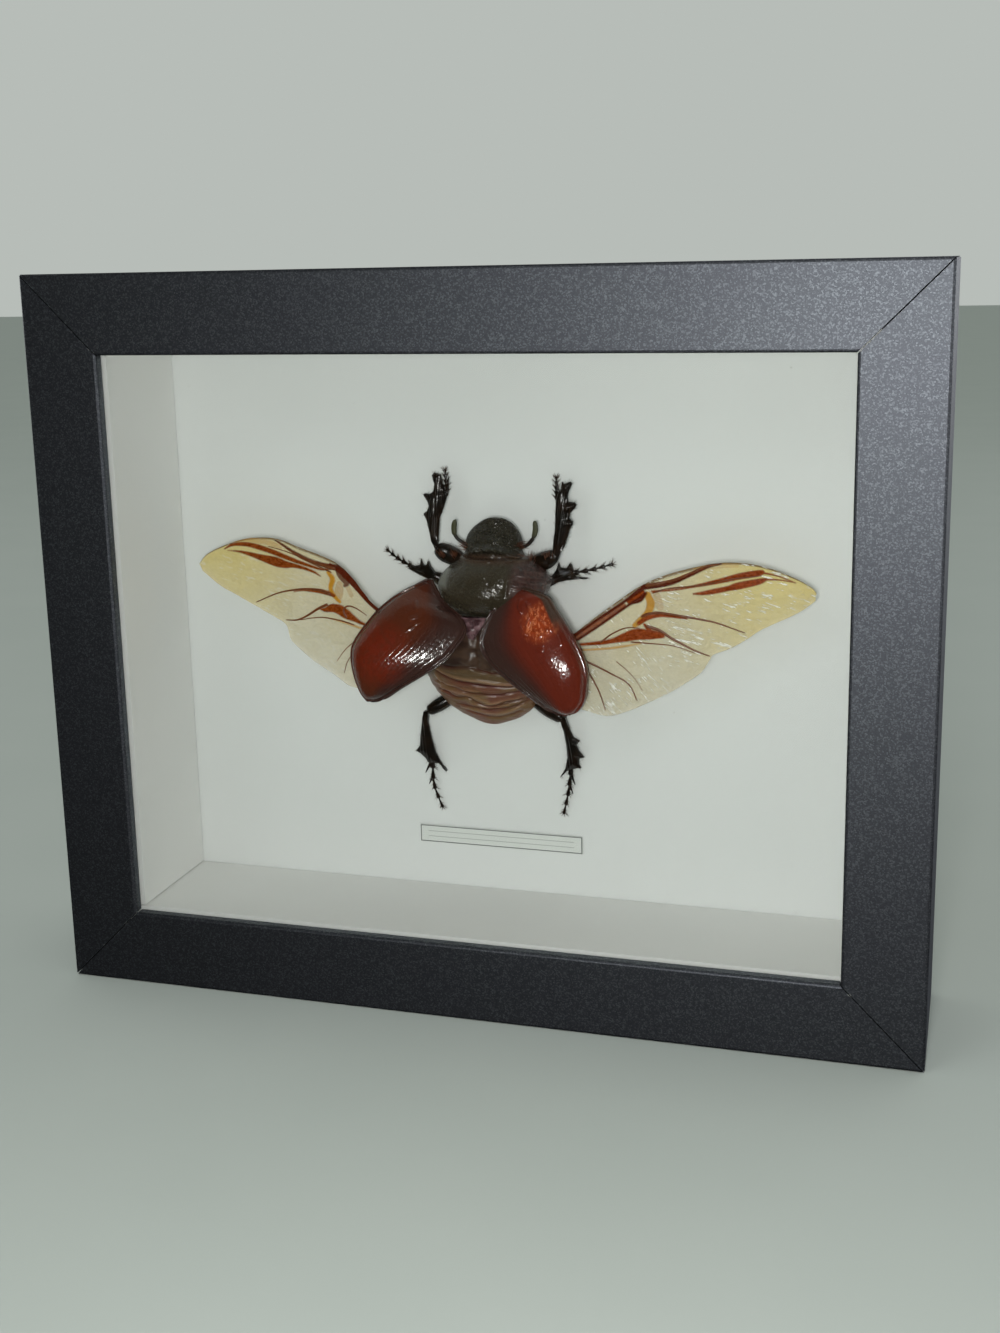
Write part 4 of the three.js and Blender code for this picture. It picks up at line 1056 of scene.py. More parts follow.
# Rods are path and thickness at both ends
LEFT_RODS = [
    ([(-40.3, 16.6), (-44.3, 17.6), (-48.7, 19.0), (-53.1, 21.2), (-56.4, 23.4)], 0.50, 0.22),
    ([(-42.1, 9.8), (-45.2, 10.9), (-50.2, 10.9), (-57.0, 9.6), (-63.9, 6.7)], 0.36, 0.12),
    ([(-38.0, 3.8), (-38.9, 5.6), (-37.9, 6.9), (-35.5, 6.5), (-32.6, 4.6)], 0.30, 0.10),
    ([(-43.2, 7.2), (-46.0, 5.9), (-49.4, 3.8), (-52.3, 2.6), (-55.6, 2.4)], 0.40, 0.14),
    ([(-36.0, 2.0), (-38.7, 2.8), (-44.3, 3.6), (-48.2, 3.3), (-51.4, 2.6)], 0.20, 0.12),
    ([(-35.2, -1.4), (-39.0, -4.6), (-41.7, -8.0)], 0.16, 0.08),
    ([(-36.0, -4.4), (-38.6, -7.8), (-39.8, -11.1)], 0.16, 0.08),
    ([(-41.6, 15.6), (-47.1, 17.9), (-53.1, 20.4), (-59.2, 22.0)], 0.22, 0.12)]
RIGHT_RODS = [
    ([(39.9, 15.2), (46.1, 16.6), (50.7, 18.6), (55.1, 20.6), (58.1, 21.2)], 0.46, 0.20),
    ([(38.7, 7.3), (41.7, 8.5), (47.0, 8.2), (56.1, 6.8), (64.2, 4.3)], 0.40, 0.14),
    ([(28.5, 0.4), (31.5, 2.8), (35.1, 4.5), (38.5, 4.6)], 0.22, 0.12),
    ([(40.0, 5.2), (43.5, 4.1), (46.1, 2.4), (51.3, -0.2), (55.6, -1.8)], 0.44, 0.16),
    ([(36.0, 1.0), (43.5, 0.7), (47.4, 0.3), (52.2, -1.2)], 0.18, 0.10),
    ([(24.6, -4.4), (31.0, -7.3), (35.5, -9.8), (37.7, -14.2)], 0.30, 0.12),
    ([(24.6, -6.0), (27.8, -11.6), (29.6, -17.0)], 0.28, 0.12),
    ([(32.4, -4.1), (36.4, -7.5), (39.0, -11.4)], 0.12, 0.07),
    ([(41.4, 13.4), (45.2, 14.6), (53.2, 15.8), (60.0, 17.4), (68.0, 18.6)], 0.22, 0.12)]
print("veins:", len(LEFT_RODS) + len(RIGHT_RODS))

# %% Flight wings
GLINT_TURNS = (-0.3, -0.8)
MEMBRANE_THICKNESS = 0.09


def wing_rule(outer, inner, bands, amounts):
    def rule(u, v):
        a, b = even_rows(outer, u), even_rows(inner, u)
        p = a + (b - a) * v[:, None]
        for colour, paths in bands.items():
            total = np.zeros_like(u)
            for band in paths:
                total = np.maximum(total, band_amount(p, *band))
            amounts[colour] = total
        flat = np.stack([p[:, 0], p[:, 1], np.zeros_like(u)], 1)
        along = np.stack([p[:, 0] * 0.35, p[:, 1], np.zeros_like(u)], 1)
        crease = 0.22 * hills(flat, 6.0) + 0.16 * hills(along, 1.6, 3.0) + 0.07 * hills(flat, 1.0, 8.0)
        swell = 0.28 * amounts["brown"] + 0.16 * amounts["russet"] + 0.12 * amounts["amber"]
        lead = 0.20 * np.exp(-(v * np.linalg.norm(b - a, axis=1) / 0.35) ** 2)
        height = WING_HEIGHT + WING_ARCH * np.sin(math.pi * u) * (1 - v) + crease + swell + lead
        return np.stack([p[:, 0], p[:, 1], height], 1)
    return rule


def membrane_finish(name, patch_dark, patch_light, painted_glint_strength):
    f = Finish(name)
    shell = f.node("ShaderNodeTexCoord", out="UV")
    u, v, _ = f.axes(shell)
    amount = {key: f.node("ShaderNodeAttribute", {"attribute_name": key}, out="Fac") for key in
              ("brown", "russet", "amber")}
    crumple = f.grain(0.5, 4.0, 0.7, f.stretched((0.6, 1.0, 1.0)))
    cloud = f.grain(7.0, 3.0)
    tip = u.between(0.45, 0.85)
    streaks = []
    for turn in GLINT_TURNS:
        sockets = {"Vector": f.place, "Angle": turn}
        lean = f.node("ShaderNodeVectorRotate", {"rotation_type": "Y_AXIS"}, sockets)
        streaks.append(f.grain(0.5, 2.0, 0.6, f.stretched((0.14, 1.0, 1.0), lean)).between(0.57, 0.63))
    outer_part = u.between(0.38, 0.5)
    streak = streaks[0] * outer_part + streaks[1] * (1 - outer_part)
    glint = streak * f.grain(4.0, 2.0).between(0.44, 0.56) * painted_glint_strength
    clear = f.colours(cloud, rgb(244, 234, 206), rgb(234, 220, 178))
    straw = f.colours(cloud, rgb(242, 224, 148), rgb(226, 202, 108))
    yellow = (tip * 0.7 + (1 - v) * 0.35 * u.between(0.1, 0.4)).least(1.0)
    colour = f.colours(yellow * 0.85, clear, straw)
    edge = v.between(0.035, 0.012)
    colour = f.colours(edge * 0.85, colour, rgb(112, 72, 24))
    # White streaks on the membrane are painted glints; the last argument of the finish sets how strong they
    # are.
    colour = f.colours(glint * 0.85, colour, rgb(255, 255, 250))
    colour = f.colours(amount["amber"], colour, rgb(200, 142, 44))
    russet = f.colours(crumple.between(0.3, 0.7), patch_dark, patch_light)
    colour = f.colours(amount["russet"], colour, russet)
    colour = f.colours(amount["brown"], colour, f.colours(cloud, rgb(70, 20, 6), rgb(104, 38, 12)))
    solid = amount["brown"].most(amount["russet"] * 0.96).most(amount["amber"] * 0.9).most(edge * 0.7)
    alpha = (0.28 + yellow * 0.28 + crumple * 0.12).most(solid).most(glint * 0.9)
    rough = 0.18 + crumple * 0.2
    normal = f.bump(crumple + glint * 0.5, 0.2, 1.0)
    sockets = {"Base Color": colour, "Roughness": rough, "Alpha": alpha, "Normal": normal}
    sockets["Specular IOR Level"] = 0.15
    return f.surface(sockets)


rod_points = {}


def flight_wing(name, outer, inner, bands, membrane, node):
    amounts = {}
    obj, _, _ = grid_piece(name, 330, 120, wing_rule(outer, inner, bands, amounts))
    for colour, values in amounts.items():
        give(obj, colour, values)
    rod_points[name] = measured(obj)
    face_forward(obj)
    thicken(obj, MEMBRANE_THICKNESS)
    return finish_piece(obj, membrane, "wing_membrane", node)


left_membrane = membrane_finish("left_wing_membrane", rgb(112, 46, 6), rgb(150, 72, 16), 0.35)
right_membrane = membrane_finish("right_wing_membrane", rgb(116, 44, 8), rgb(158, 70, 20), 1.0)
flight_wing("flight_wing_left", LEFT_WING_OUTER, LEFT_WING_INNER, LEFT_BANDS, left_membrane, "hindwing_left")
flight_wing(
    "flight_wing_right", RIGHT_WING_OUTER, RIGHT_WING_INNER, RIGHT_BANDS, right_membrane, "hindwing_right")

# %% [markdown]
# A rod, a leg joint and a feeler are all tubes round a path. The grid goes round the path with one side and
# along it with the other, and its ends close in a point. The tubes of one piece are joined into one mesh.

# %% Tubes
TUBE_SAMPLES = 200
ROD_STATIONS = 16


def tube(name, stations, sides=12, steps=40, end_round=0.06):
    """A closed tube through stations given as across, up, height, half width and half thickness."""
    rows = np.asarray(stations, float)

    def rule(u, v):
        fine = even_rows(rows, np.linspace(0, 1, TUBE_SAMPLES))
        centre = fine[:, :3]
        ahead = np.gradient(centre, axis=0)
        ahead /= np.linalg.norm(ahead, axis=1)[:, None]
        sideways = np.cross(ahead, (0.0, 0.0, 1.0))
        sideways /= np.maximum(np.linalg.norm(sideways, axis=1), 1e-6)[:, None]
        upward = np.cross(sideways, ahead)
        place = v * (TUBE_SAMPLES - 1)

        def at(table):
            return np.stack([np.interp(place, np.arange(TUBE_SAMPLES), column) for column in table.T], 1)

        size = at(fine)[:, 3:5]
        ends = np.clip(np.minimum(v, 1 - v) / end_round, 0, 1)
        taper = np.sqrt(np.clip(1 - (1 - ends) ** 2, 0, 1))[:, None]
        angle = (u * 2 * math.pi)[:, None]
        around = at(sideways) * np.cos(angle) * size[:, :1] + at(upward) * np.sin(angle) * size[:, 1:]
        return at(centre) + around * taper

    obj, _, _ = grid_piece(name, sides, steps, rule)
    close_seams(obj, 0.0005)
    return obj


def join(name, objects):
    deselect()
    for obj in objects:
        obj.select_set(True)
    bpy.context.view_layer.objects.active = objects[0]
    if len(objects) > 1:
        bpy.ops.object.join()
    whole = bpy.context.object
    whole.name = whole.data.name = name
    return whole


def vein_skin():
    f = Finish("vein_skin")
    grain = f.grain(0.8, 3.0)
    colour = f.colours(grain, rgb(84, 38, 12), rgb(130, 70, 26))
    normal = f.bump(grain, 0.03, 0.4)
    return f.surface({"Base Color": colour, "Roughness": 0.25 + grain * 0.2, "Normal": normal})


def wing_rods(name, wing, rods):
    surface = rod_points[wing]
    tubes = []
    for k, (path, start, end) in enumerate(rods):
        line = even_rows(path, np.linspace(0, 1, ROD_STATIONS))
        stations = []
        for t, (x, z) in zip(np.linspace(0, 1, ROD_STATIONS), line):
            nearest = np.argmin((surface[:, 0] - x) ** 2 + (surface[:, 1] - z) ** 2)
            half = start + (end - start) * t
            stations.append((x, z, surface[nearest, 2] + 0.05, half, half * 0.55))
        tubes.append(tube(f"{name}_{k}", stations, 8, 48, 0.02))
    return finish_piece(join(name, tubes), vein_material, "wing_membrane")


vein_material = vein_skin()
wing_rods("flight_wing_left_veins", "flight_wing_left", LEFT_RODS)
wing_rods("flight_wing_right_veins", "flight_wing_right", RIGHT_RODS)

# %% [markdown]
# A leg has a thick thigh, a flat toothed shin and a thin foot of five joints. Thigh and foot are tubes. The
# shin is drawn as an outline, extruded and then joined with the rest into one skin by a fine voxel remesh,
# which also rounds the sharp edges as on the real leg. After that its points are pushed in towards the
# outline, so that the shin is thick in the middle and thin at the teeth.

# %% Leg values
# Thighs are across, up, height, half width and half thickness. Outlines are along the shin from the knee
# and across it. Feet are across, up and height. Spurs are both ends, height and thickness.
LEGS = {
    "foreleg_left": {
        "thigh": [
            (-6.0, 16.0, 4.0, 1.4, 1.2), (-8.6, 17.5, 4.8, 1.7, 1.4), (-11.2, 19.1, 5.6, 2.3, 1.9),
            (-13.6, 20.5, 6.6, 2.4, 2.0), (-15.4, 22.2, 7.4, 1.5, 1.3)],
        "knee": (-15.3, 21.9),
        "ankle": (-15.0, 39.8),
        "heights": (7.4, 6.0),
        "outline": [
            (-0.5, 0.3), (1.5, 1.4), (4.2, 2.2), (6.7, 2.8), (8.3, 3.7), (9.1, 2.7), (10.3, 2.3),
            (11.5, 2.7), (13.1, 3.8), (13.5, 3.4), (13.3, 2.1), (14.1, 1.1), (15.9, 0.9), (18.1, 1.6),
            (18.8, 0.9), (18.4, -0.8), (16.7, -1.2), (14.5, -1.8), (13.5, -2.6), (11.7, -2.2), (10.0, -1.7),
            (7.4, -0.7), (4.3, -0.5), (1.5, -0.4)],
        "foot": [(-13.0, 35.0, 6.0), (-13.0, 38.3, 5.6), (-13.5, 41.5, 5.0)],
        "spurs": [(-12.7, 34.6, -12.1, 40.2, 6.0, 0.42)]},
    "foreleg_right": {
        "thigh": [
            (5.0, 15.4, 4.0, 1.4, 1.2), (7.2, 16.6, 4.8, 1.6, 1.4), (9.8, 17.9, 5.6, 2.1, 1.8),
            (13.2, 19.3, 6.6, 2.3, 2.0), (16.0, 21.0, 7.4, 1.5, 1.3)],
        "knee": (15.9, 20.5),
        "ankle": (18.6, 38.7),
        "heights": (7.4, 6.0),
        "outline": [
            (-0.6, 0.6), (3.6, 1.2), (6.3, 1.2), (10.0, 1.7), (13.7, 2.1), (15.5, 1.9), (16.6, 1.3),
            (18.6, 1.3), (18.1, 0.7), (18.9, -0.9), (18.4, -1.4), (16.7, -0.9), (15.2, -0.7), (13.9, -1.1),
            (14.0, -2.7), (13.5, -3.3), (12.6, -3.0), (11.2, -2.0), (9.9, -2.0), (9.2, -3.0), (8.5, -3.1),
            (7.2, -2.5), (5.2, -2.3), (2.9, -1.9), (1.0, -1.1), (-0.9, -0.8)],
        "foot": [(16.0, 34.2, 6.0), (15.7, 37.3, 5.6), (15.6, 40.1, 5.0)],
        "spurs": [(16.3, 34.6, 16.2, 39.1, 6.0, 0.42)]},
    "midleg_left": {
        "thigh": [
            (-8.0, 9.0, 2.0, 1.3, 1.1), (-9.8, 9.8, 2.2, 1.4, 1.2), (-12.4, 11.2, 2.8, 1.9, 1.5),
            (-15.2, 12.6, 3.8, 1.8, 1.5), (-17.7, 14.2, 4.8, 1.1, 1.0)],
        "knee": (-17.5, 14.1),
        "ankle": (-23.5, 16.0),
        "heights": (4.9, 3.8),
        "outline": [
            (-0.6, -0.7), (1.4, -2.0), (2.3, -3.1), (2.4, -1.9), (3.3, -1.6), (4.4, -2.9), (4.2, -1.2),
            (5.6, -0.4), (6.8, -0.4), (7.0, 1.0), (5.1, 1.2), (3.2, 1.4), (0.8, 1.2), (-0.6, 0.6)],
        "foot": [(-22.8, 15.6, 3.8), (-27.5, 17.5, 2.6), (-31.3, 19.8, 1.4)],
        "spurs": []},
    "midleg_right": {
        "thigh": [
            (4.0, 8.4, 2.0, 1.3, 1.1), (5.4, 9.2, 2.2, 1.4, 1.2), (7.4, 10.2, 2.8, 1.9, 1.5),
            (10.4, 11.6, 3.8, 1.8, 1.5), (13.4, 13.0, 4.8, 1.1, 1.0)],
        "knee": (13.1, 12.8),
        "ankle": (19.3, 15.9),
        "heights": (4.9, 3.8),
        "outline": [
            (-0.3, 0.6), (1.5, 1.3), (3.4, 2.3), (5.0, 3.9), (4.7, 2.5), (5.9, 1.6), (7.3, 2.4), (7.6, 1.8),
            (7.3, 0.1), (6.7, -1.0), (10.1, -3.3), (6.6, -1.9), (4.7, -1.2), (2.7, -0.7), (-0.3, -0.8)],
        "foot": [(18.6, 15.5, 3.8), (24.0, 16.5, 2.6), (29.2, 17.9, 1.4)],
        "spurs": []},
    "hindleg_left": {
        "thigh": [
            (-10.4, -16.6, 1.4, 1.2, 0.9), (-12.4, -17.9, 1.9, 1.4, 1.1), (-14.6, -19.2, 2.6, 1.7, 1.4),
            (-17.4, -20.9, 3.6, 1.8, 1.5), (-20.3, -22.6, 4.6, 1.3, 1.1)],
        "knee": (-20.4, -22.7),
        "ankle": (-19.8, -36.7),
        "heights": (4.6, 2.6),
        "outline": [
            (-0.4, -0.7), (2.9, -1.7), (6.6, -2.6), (9.5, -3.1), (11.1, -4.4), (11.8, -3.2), (13.2, -1.9),
            (14.4, -1.4), (14.6, 0.2), (14.6, 1.6), (17.1, 3.8), (14.1, 2.2), (11.4, 1.1), (7.4, 0.5),
            (2.8, 0.1), (-0.4, 0.6)],
        "foot": [(-19.9, -35.8, 2.7), (-20.0, -43.4, 1.8), (-18.0, -50.1, 1.0)],
        "spurs": [(-20.6, -37.2, -22.2, -40.4, 2.4, 0.4), (-20.2, -41.0, -21.4, -43.6, 2.0, 0.35)]},
    "hindleg_right": {
        "thigh": [
            (5.4, -16.6, 1.4, 1.2, 0.9), (7.4, -17.8, 1.9, 1.4, 1.1), (9.6, -19.0, 2.6, 1.8, 1.4),
            (12.7, -20.5, 3.6, 2.0, 1.6), (16.4, -22.5, 4.6, 1.3, 1.1)],
        "knee": (16.5, -22.4),
        "ankle": (18.2, -35.7),
        "heights": (4.6, 2.6),
        "outline": [
            (-0.4, -0.7), (3.9, -0.4), (7.2, -0.4), (10.6, -0.7), (13.6, -1.8), (16.2, -3.7), (14.2, -1.2),
            (14.0, 0.2), (13.8, 1.3), (13.9, 2.5), (12.8, 2.1), (11.1, 2.4), (10.9, 3.8), (8.9, 2.7),
            (7.3, 2.3), (6.2, 3.4), (5.2, 2.0), (3.5, 1.5), (0.9, 1.0), (-0.6, 0.8)],
        "foot": [(18.1, -35.0, 2.7), (17.0, -42.6, 1.8), (15.4, -49.3, 1.0)],
        "spurs": [(17.9, -37.6, 19.0, -40.8, 2.4, 0.4), (17.4, -40.8, 18.3, -43.4, 2.0, 0.35)]}}
SHIN_THICKNESS = 1.6
FOOT_JOINTS = 5
VOXEL_MM = 0.13
BLADE_START = 1.6
HAIR_BEND = 0.12
HAIR_CORNERS = (0.0, 2.094, 4.189)
THIGH_HAIR_ROWS = 26

# %% Leg parts
def leg_axes(leg):
    knee, ankle = np.array(leg["knee"]), np.array(leg["ankle"])
    length = np.linalg.norm(ankle - knee)
    along = (ankle - knee) / length
    return knee, along, np.array([-along[1], along[0]]), length


def middle_height(leg, reach, length):
    """Height of the shin's middle at a distance from the knee."""
    at_knee, at_ankle = leg["heights"]
    return at_knee + (at_ankle - at_knee) * reach / length


def shrink_at(joint):
    """How much thinner a joint of the foot is than the first one."""
    return 1 - 0.45 * joint / FOOT_JOINTS


def shin(name, leg):
    """The outline filled as one face and extruded to the shin's thickness."""
    knee, along, across, length = leg_axes(leg)
    local = np.array(leg["outline"])
    deselect()
    bpy.ops.mesh.primitive_circle_add(vertices=len(local), radius=1, fill_type="NGON")
    obj = bpy.context.object
    obj.name = obj.data.name = name
    flat = knee + local[:, :1] * along + local[:, 1:] * across
    middle = middle_height(leg, local[:, 0], length)
    place_points(obj, np.column_stack([flat, middle - SHIN_THICKNESS / 2]))
    bpy.ops.object.mode_set(mode="EDIT")
    bpy.ops.mesh.select_all(action="SELECT")
    out = (0, -SHIN_THICKNESS * MM, 0)
    bpy.ops.mesh.extrude_region_move(TRANSFORM_OT_translate={"value": out})
    bpy.ops.mesh.select_all(action="SELECT")
    bpy.ops.mesh.quads_convert_to_tris()
    bpy.ops.mesh.normals_make_consistent(inside=False)
    bpy.ops.object.mode_set(mode="OBJECT")
    return obj


def foot(name, path):
    rows = []
    for i in range(FOOT_JOINTS):
        shrink = shrink_at(i)
        near = smooth_rows(path, np.array([(i + 0.04) / FOOT_JOINTS]))[0]
        far = smooth_rows(path, np.array([(i + 0.86) / FOOT_JOINTS]))[0]
        rows += [(*near, 0.34 * shrink, 0.3 * shrink), (*far, 0.72 * shrink, 0.5 * shrink)]
    rows.append((*path[-1], 0.3, 0.3))
    return tube(name, rows, 12, 80, 0.02)


def outline_distance(points, outline):
    """Distance of flat points to the nearest side of a closed outline."""
    corners = np.array(outline)
    best = np.full(len(points), 1e9)
    for a, b in zip(corners, np.roll(corners, -1, 0)):
        side = b - a
        t = np.clip(((points - a) @ side) / max(side @ side, 1e-9), 0, 1)
        best = np.minimum(best, np.linalg.norm(points - a - t[:, None] * side, axis=1))
    return best


def thin_the_shin(obj, leg):
    """Pushes the shin's two faces together towards its outline and raises a keel along it."""
    knee, along, across, length = leg_axes(leg)
    p = measured(obj)
    local = np.column_stack([(p[:, :2] - knee) @ along, (p[:, :2] - knee) @ across])
    middle = middle_height(leg, local[:, 0], length)
    on_shin = (local[:, 0] > BLADE_START) & (local[:, 0] < length + 1.5)
    offset = p[:, 2] - middle
    flat_part = on_shin & (np.abs(offset) < SHIN_THICKNESS / 2 + 0.15)
    depth = outline_distance(local, leg["outline"])
    share = 0.30 + 1.0 * np.sqrt(np.clip(depth / 1.7, 0, 1))
    share = share + 0.10 * np.cos(local[:, 1] * 7.0) * (depth > 0.4)
    blend = np.clip((local[:, 0] - BLADE_START) / 1.5, 0, 1) * flat_part
    p[:, 2] = middle + offset * (1 + (share - 1) * blend)
    place_points(obj, p)


def spur(name, values):
    x1, z1, x2, z2, height, radius = values
    middle = ((x1 + x2) / 2, (z1 + z2) / 2, height, radius * 0.75, radius * 0.75)
    rows = [(x1, z1, height, radius, radius), middle, (x2, z2, height, 0.1, 0.1)]
    return tube(name, rows, 8, 16, 0.05)


def hairs(name, roots, tips, radius):
    """Many fine curved hairs as one mesh. There are hundreds, so numbers make them and not hands."""
    roots, tips = np.asarray(roots, float), np.asarray(tips, float)
    radius = np.broadcast_to(np.asarray(radius, float), (len(roots),))
    ahead = tips - roots
    length = np.linalg.norm(ahead, axis=1)[:, None]
    ahead = ahead / length
    side = np.cross(ahead, (0.0, 0.0, 1.0))
    side /= np.maximum(np.linalg.norm(side, axis=1), 1e-6)[:, None]
    third = np.cross(ahead, side)
    verts, faces = [], []
    for k in range(len(roots)):
        base = len(verts)
        for share, thick in ((0.0, 1.0), (0.4, 0.75), (0.75, 0.42)):
            centre = roots[k] + ahead[k] * length[k] * share + third[k] * length[k] * HAIR_BEND * share ** 2
            for angle in HAIR_CORNERS:
                out = side[k] * math.cos(angle) + third[k] * math.sin(angle)
                verts.append(centre + out * radius[k] * thick)
        verts.append(tips[k] + third[k] * length[k] * HAIR_BEND)
        for ring in (0, 3):
            for i in range(3):
                j = (i + 1) % 3
                faces.append((base + ring + i, base + ring + j, base + ring + 3 + j, base + ring + 3 + i))
        faces += [(base + 6 + i, base + 6 + (i + 1) % 3, base + 9) for i in range(3)]
        faces.append((base + 2, base + 1, base))
    verts = np.array(verts)
    placed = np.stack([verts[:, 0], BOARD_FRONT - verts[:, 2], verts[:, 1]], 1) * MM
    mesh = bpy.data.meshes.new(name)
    mesh.from_pydata(placed.tolist(), [], faces)
    obj = bpy.data.objects.new(name, mesh)
    bpy.context.scene.collection.objects.link(obj)
    close_seams(obj, 0.00001)
    return obj


def leg_hairs(name, leg):
    """Fringes on the shin's edges, spines at the foot's joints and two claws."""
    knee, along, across, length = leg_axes(leg)
    outline = np.array(leg["outline"])
    roots, tips, sizes = [], [], []

    def add(root, way, long, radius):
        spread = RANDOM.normal(0, 0.14, 3)
        way = np.array(way, float) + spread
        roots.append(root)
        tips.append(np.array(root) + way / np.linalg.norm(way) * long)
        sizes.append(radius)

    for a, b in zip(outline, np.roll(outline, -1, 0)):
        side = b - a
        long = np.linalg.norm(side)
        out = np.array([side[1], -side[0]]) / long
        if (out @ ((a + b) / 2 - outline.mean(0))) < 0:
            out = -out
        for t in np.arange(0.1, 1.0, 0.42 / max(long, 0.42)):
            local = a + side * t - out * 0.12
            if local[0] < 1.0 or RANDOM.random() < 0.25:
                continue
            flat = knee + local[0] * along + local[1] * across
            height = middle_height(leg, local[0], length)
            lean = (out[0] + 0.9) * along + out[1] * across
            add((*flat, height + RANDOM.normal(0, 0.12)), (*lean, 0.15), RANDOM.uniform(0.5, 1.25), 0.05)
    path = np.array(leg["foot"])
    for i in range(FOOT_JOINTS):
        for share in (0.45, 0.7, 0.86):
            t = (i + share) / FOOT_JOINTS
            here, ahead = smooth_rows(path, np.array([t, min(t + 0.03, 1.0)]))
            way = ahead - here
            way /= max(np.linalg.norm(way), 1e-6)
            side = np.array([-way[1], way[0], 0.0])
            shrink = shrink_at(i)
            for sign in (-1, 1):
                for _ in range(2):
                    root = here + side * sign * 0.5 * shrink * share
                    long = RANDOM.uniform(0.9, 1.7) * (0.7 + 0.3 * share)
                    add(root, way * 0.8 + side * sign * 0.9, long, 0.075)
    here, before = path[-1], path[-2]
    way = (here - before) / np.linalg.norm(here - before)
    side = np.array([-way[1], way[0], 0.0])
    for sign in (-1, 1):
        roots.append(here - way * 0.3)
        tips.append(here + way * 1.0 + side * sign * 0.6)
        sizes.append(0.14)
    thigh = np.array(leg["thigh"])
    for t in np.linspace(0.15, 0.95, THIGH_HAIR_ROWS):
        x, z, height, half, _ = even_rows(thigh, np.array([t]))[0]
        x2, z2 = even_rows(thigh, np.array([min(t + 0.02, 1.0)]))[0][:2]
        way = np.array([x2 - x, z2 - z])
        way /= max(np.linalg.norm(way), 1e-6)
        for sign in (-1, 1):
            out = np.array([-way[1], way[0]]) * sign
            root = (x + out[0] * half * 0.95, z + out[1] * half * 0.95, height)
            add(root, (out[0] + 0.3 * way[0], out[1] + 0.3 * way[1], 0.1), RANDOM.uniform(0.6, 1.3), 0.035)
    return hairs(name, roots, tips, sizes)


def leg_skin():
    f = Finish("leg_skin")
    fine = f.grain(0.4, 3.0, 0.7)
    lines = f.grain(0.7, 3.0, 0.6, f.stretched((1.0, 1.0, 0.25)))
    colour = f.colours(f.grain(4.0, 2.0).between(0.35, 0.7), rgb(20, 17, 13), rgb(36, 25, 17))
    colour = f.colours(lines.between(0.5, 0.8) * 0.3, colour, rgb(58, 36, 22))
    height = lines + fine * 0.6
    sockets = {"Base Color": colour, "Roughness": 0.14 + fine * 0.14, "Normal": f.bump(height, 0.05, 0.6)}
    sockets["Specular IOR Level"] = 0.4
    return f.surface(sockets)


def hair_skin():
    f = Finish("hair_skin")
    colour = f.colours(f.grain(2.0, 2.0), rgb(38, 22, 14), rgb(88, 52, 30))
    return f.surface({"Base Color": colour, "Roughness": 0.4 + f.grain(0.5) * 0.1})


leg_material = leg_skin()
hair_material = hair_skin()


def build_leg(node, leg):
    parts = [tube(node + "_thigh", leg["thigh"], 20, 40, 0.08), shin(node + "_shin", leg)]
    parts.append(foot(node + "_foot", leg["foot"]))
    parts += [spur(f"{node}_spur_{k}", values) for k, values in enumerate(leg["spurs"])]
    whole = join("beetle_" + node, parts)
    apply_modifier(whole, "REMESH", mode="VOXEL", voxel_size=VOXEL_MM * MM, adaptivity=0.0)
    thin_the_shin(whole, leg)
    apply_modifier(whole, "SMOOTH", factor=0.5, iterations=2)
    finish_piece(whole, leg_material, "leg_cuticle", node)
    fringe = leg_hairs(f"beetle_{node}_bristles", leg)
    finish_piece(fringe, hair_material, "leg_cuticle")


for node, leg in LEGS.items():
    build_leg(node, leg)

# %% [markdown]
# A feeler has a thin bent stalk and a club of three leaves at its end. Each leaf is a flat tube, and a
# remesh joins them to the stalk.

# %% Feelers
FEELER_VOXEL_MM = 0.08
LEAF_HEIGHT = 8.5
LEAF_STEP = 0.28
FEELERS = {
    "antenna_left": [
        (-5.6, 21.8, 7.8, 0.45, 0.45), (-6.6, 22.4, 7.9, 0.45, 0.45), (-9.2, 24.1, 8.2, 0.45, 0.4),
        (-10.2, 25.5, 8.4, 0.5, 0.45)],
    "antenna_right": [
        (4.6, 21.2, 7.8, 0.45, 0.45), (5.6, 21.8, 7.9, 0.45, 0.45), (8.7, 23.2, 8.2, 0.45, 0.4),
        (10.5, 25.1, 8.4, 0.5, 0.45)]}
CLUBS = {"antenna_left": [(-10.2, 25.2), (-10.25, 27.4), (-9.9, 29.3)],
         "antenna_right": [(10.4, 24.9), (11.0, 27.1), (10.85, 29.5)]}


def club_skin():
    f = Finish("feeler_skin")
    z = f.axes()[2]
    fine = f.grain(0.3, 3.0)
    club = f.colours(fine, rgb(44, 46, 22), rgb(70, 70, 38))
    colour = f.colours(z.between(0.0248, 0.0262), rgb(30, 20, 14), club)
    normal = f.bump(fine, 0.04, 0.6)
    return f.surface({"Base Color": colour, "Roughness": 0.45 + fine * 0.2, "Normal": normal})


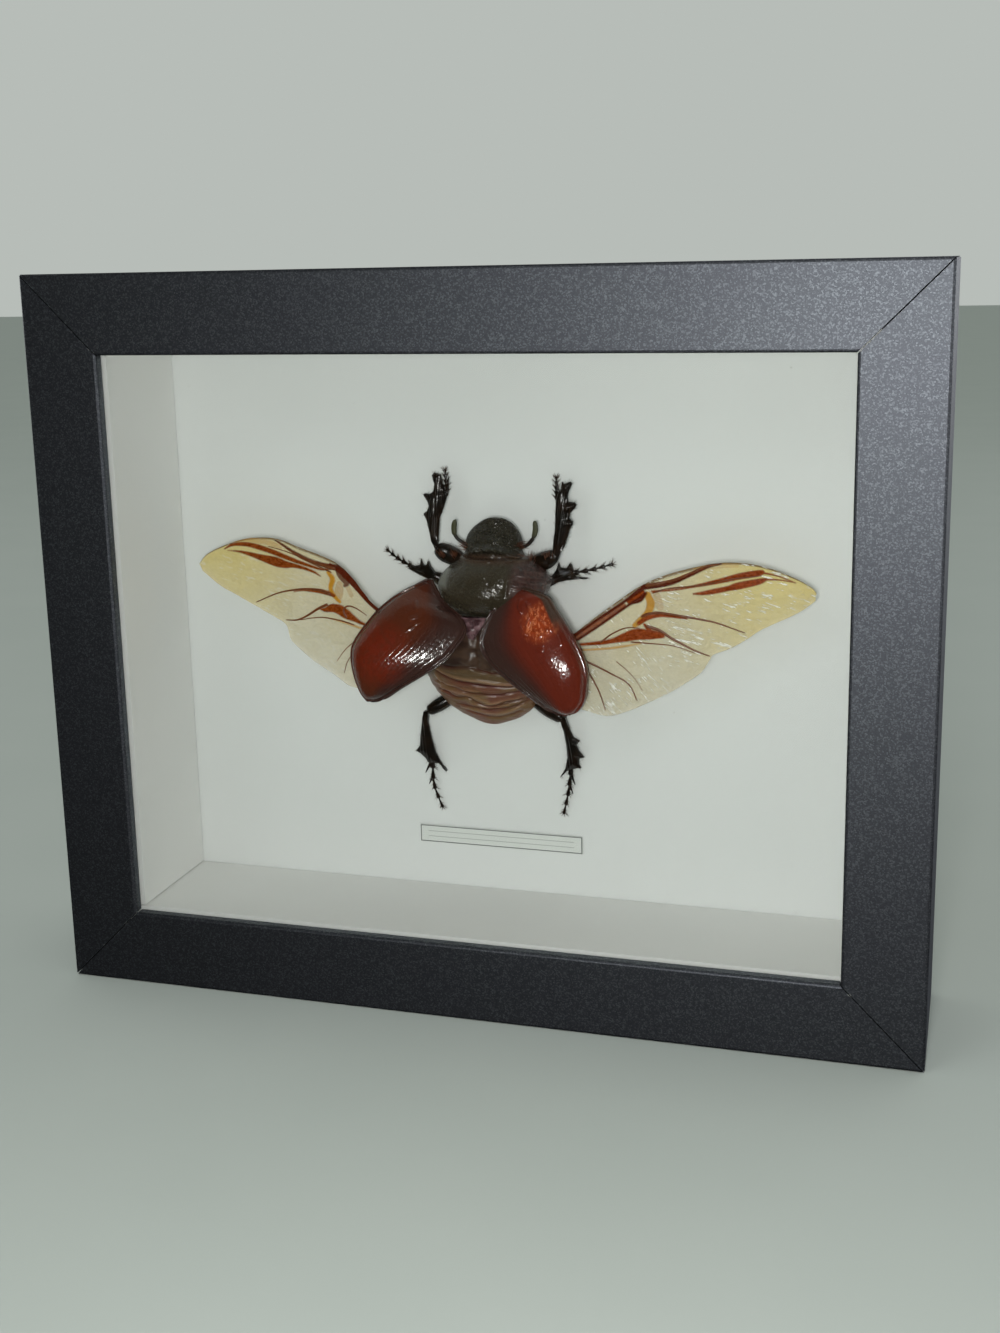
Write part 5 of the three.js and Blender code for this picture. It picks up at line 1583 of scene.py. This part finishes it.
feeler_material = club_skin()
for node, stalk in FEELERS.items():
    leaves = [tube(node + "_stalk", stalk, 12, 30)]
    for k in range(3):
        shift = (k - 1) * LEAF_STEP
        rows = [(x, z, LEAF_HEIGHT + shift * 1.2, 0.35 + 0.3 * math.sin(math.pi * (i + 0.6) / 3), 0.2)
                for i, (x, z) in enumerate(CLUBS[node])]
        leaves.append(tube(f"{node}_leaf_{k}", rows, 12, 24, 0.2))
    feeler = join("beetle_" + node, leaves)
    apply_modifier(feeler, "REMESH", mode="VOXEL", voxel_size=FEELER_VOXEL_MM * MM, adaptivity=0.0)
    apply_modifier(feeler, "SMOOTH", factor=0.5, iterations=2)
    finish_piece(feeler, feeler_material, "leg_cuticle", node)

# %% [markdown]
# Brown bristles stand in tufts at both sides of the head and where the front legs leave the body.

# %% Head bristles
BRISTLE_RADIUS = 0.085
# Tufts are a root, the way that they point, how many hairs and how long
TUFTS = [
    ((-6.3, 22.6, 10.5), (-1.0, 0.35, 0.1), 22, 2.6), ((-9.9, 20.2, 10.0), (-0.5, 0.9, 0.1), 18, 2.0),
    ((-13.6, 20.4, 9.5), (-0.6, 0.9, 0.1), 16, 1.8), ((7.4, 23.6, 10.5), (1.0, -0.1, 0.1), 18, 2.4),
    ((7.2, 20.6, 10.5), (0.9, -0.5, 0.1), 16, 2.0), ((10.1, 19.7, 10.2), (0.2, 1.0, 0.2), 24, 1.9),
    ((14.1, 20.6, 9.8), (0.1, 1.0, 0.2), 16, 1.5)]


def tuft_hairs():
    roots, tips = [], []
    for root, way, count, long in TUFTS:
        for _ in range(count):
            start = np.array(root) + RANDOM.normal(0, (0.55, 0.45, 0.5))
            aim = np.array(way) + RANDOM.normal(0, 0.22, 3)
            roots.append(start)
            tips.append(start + aim / np.linalg.norm(aim) * long * RANDOM.uniform(0.6, 1.2))
    return hairs("head_bristles", roots, tips, BRISTLE_RADIUS)


def tuft_skin():
    f = Finish("reddish_hair")
    colour = f.colours(f.grain(1.0, 2.0), rgb(52, 27, 15), rgb(112, 62, 34))
    return f.surface({"Base Color": colour, "Roughness": 0.35 + f.grain(0.5) * 0.15})


finish_piece(tuft_hairs(), tuft_skin(), "dark_cuticle")
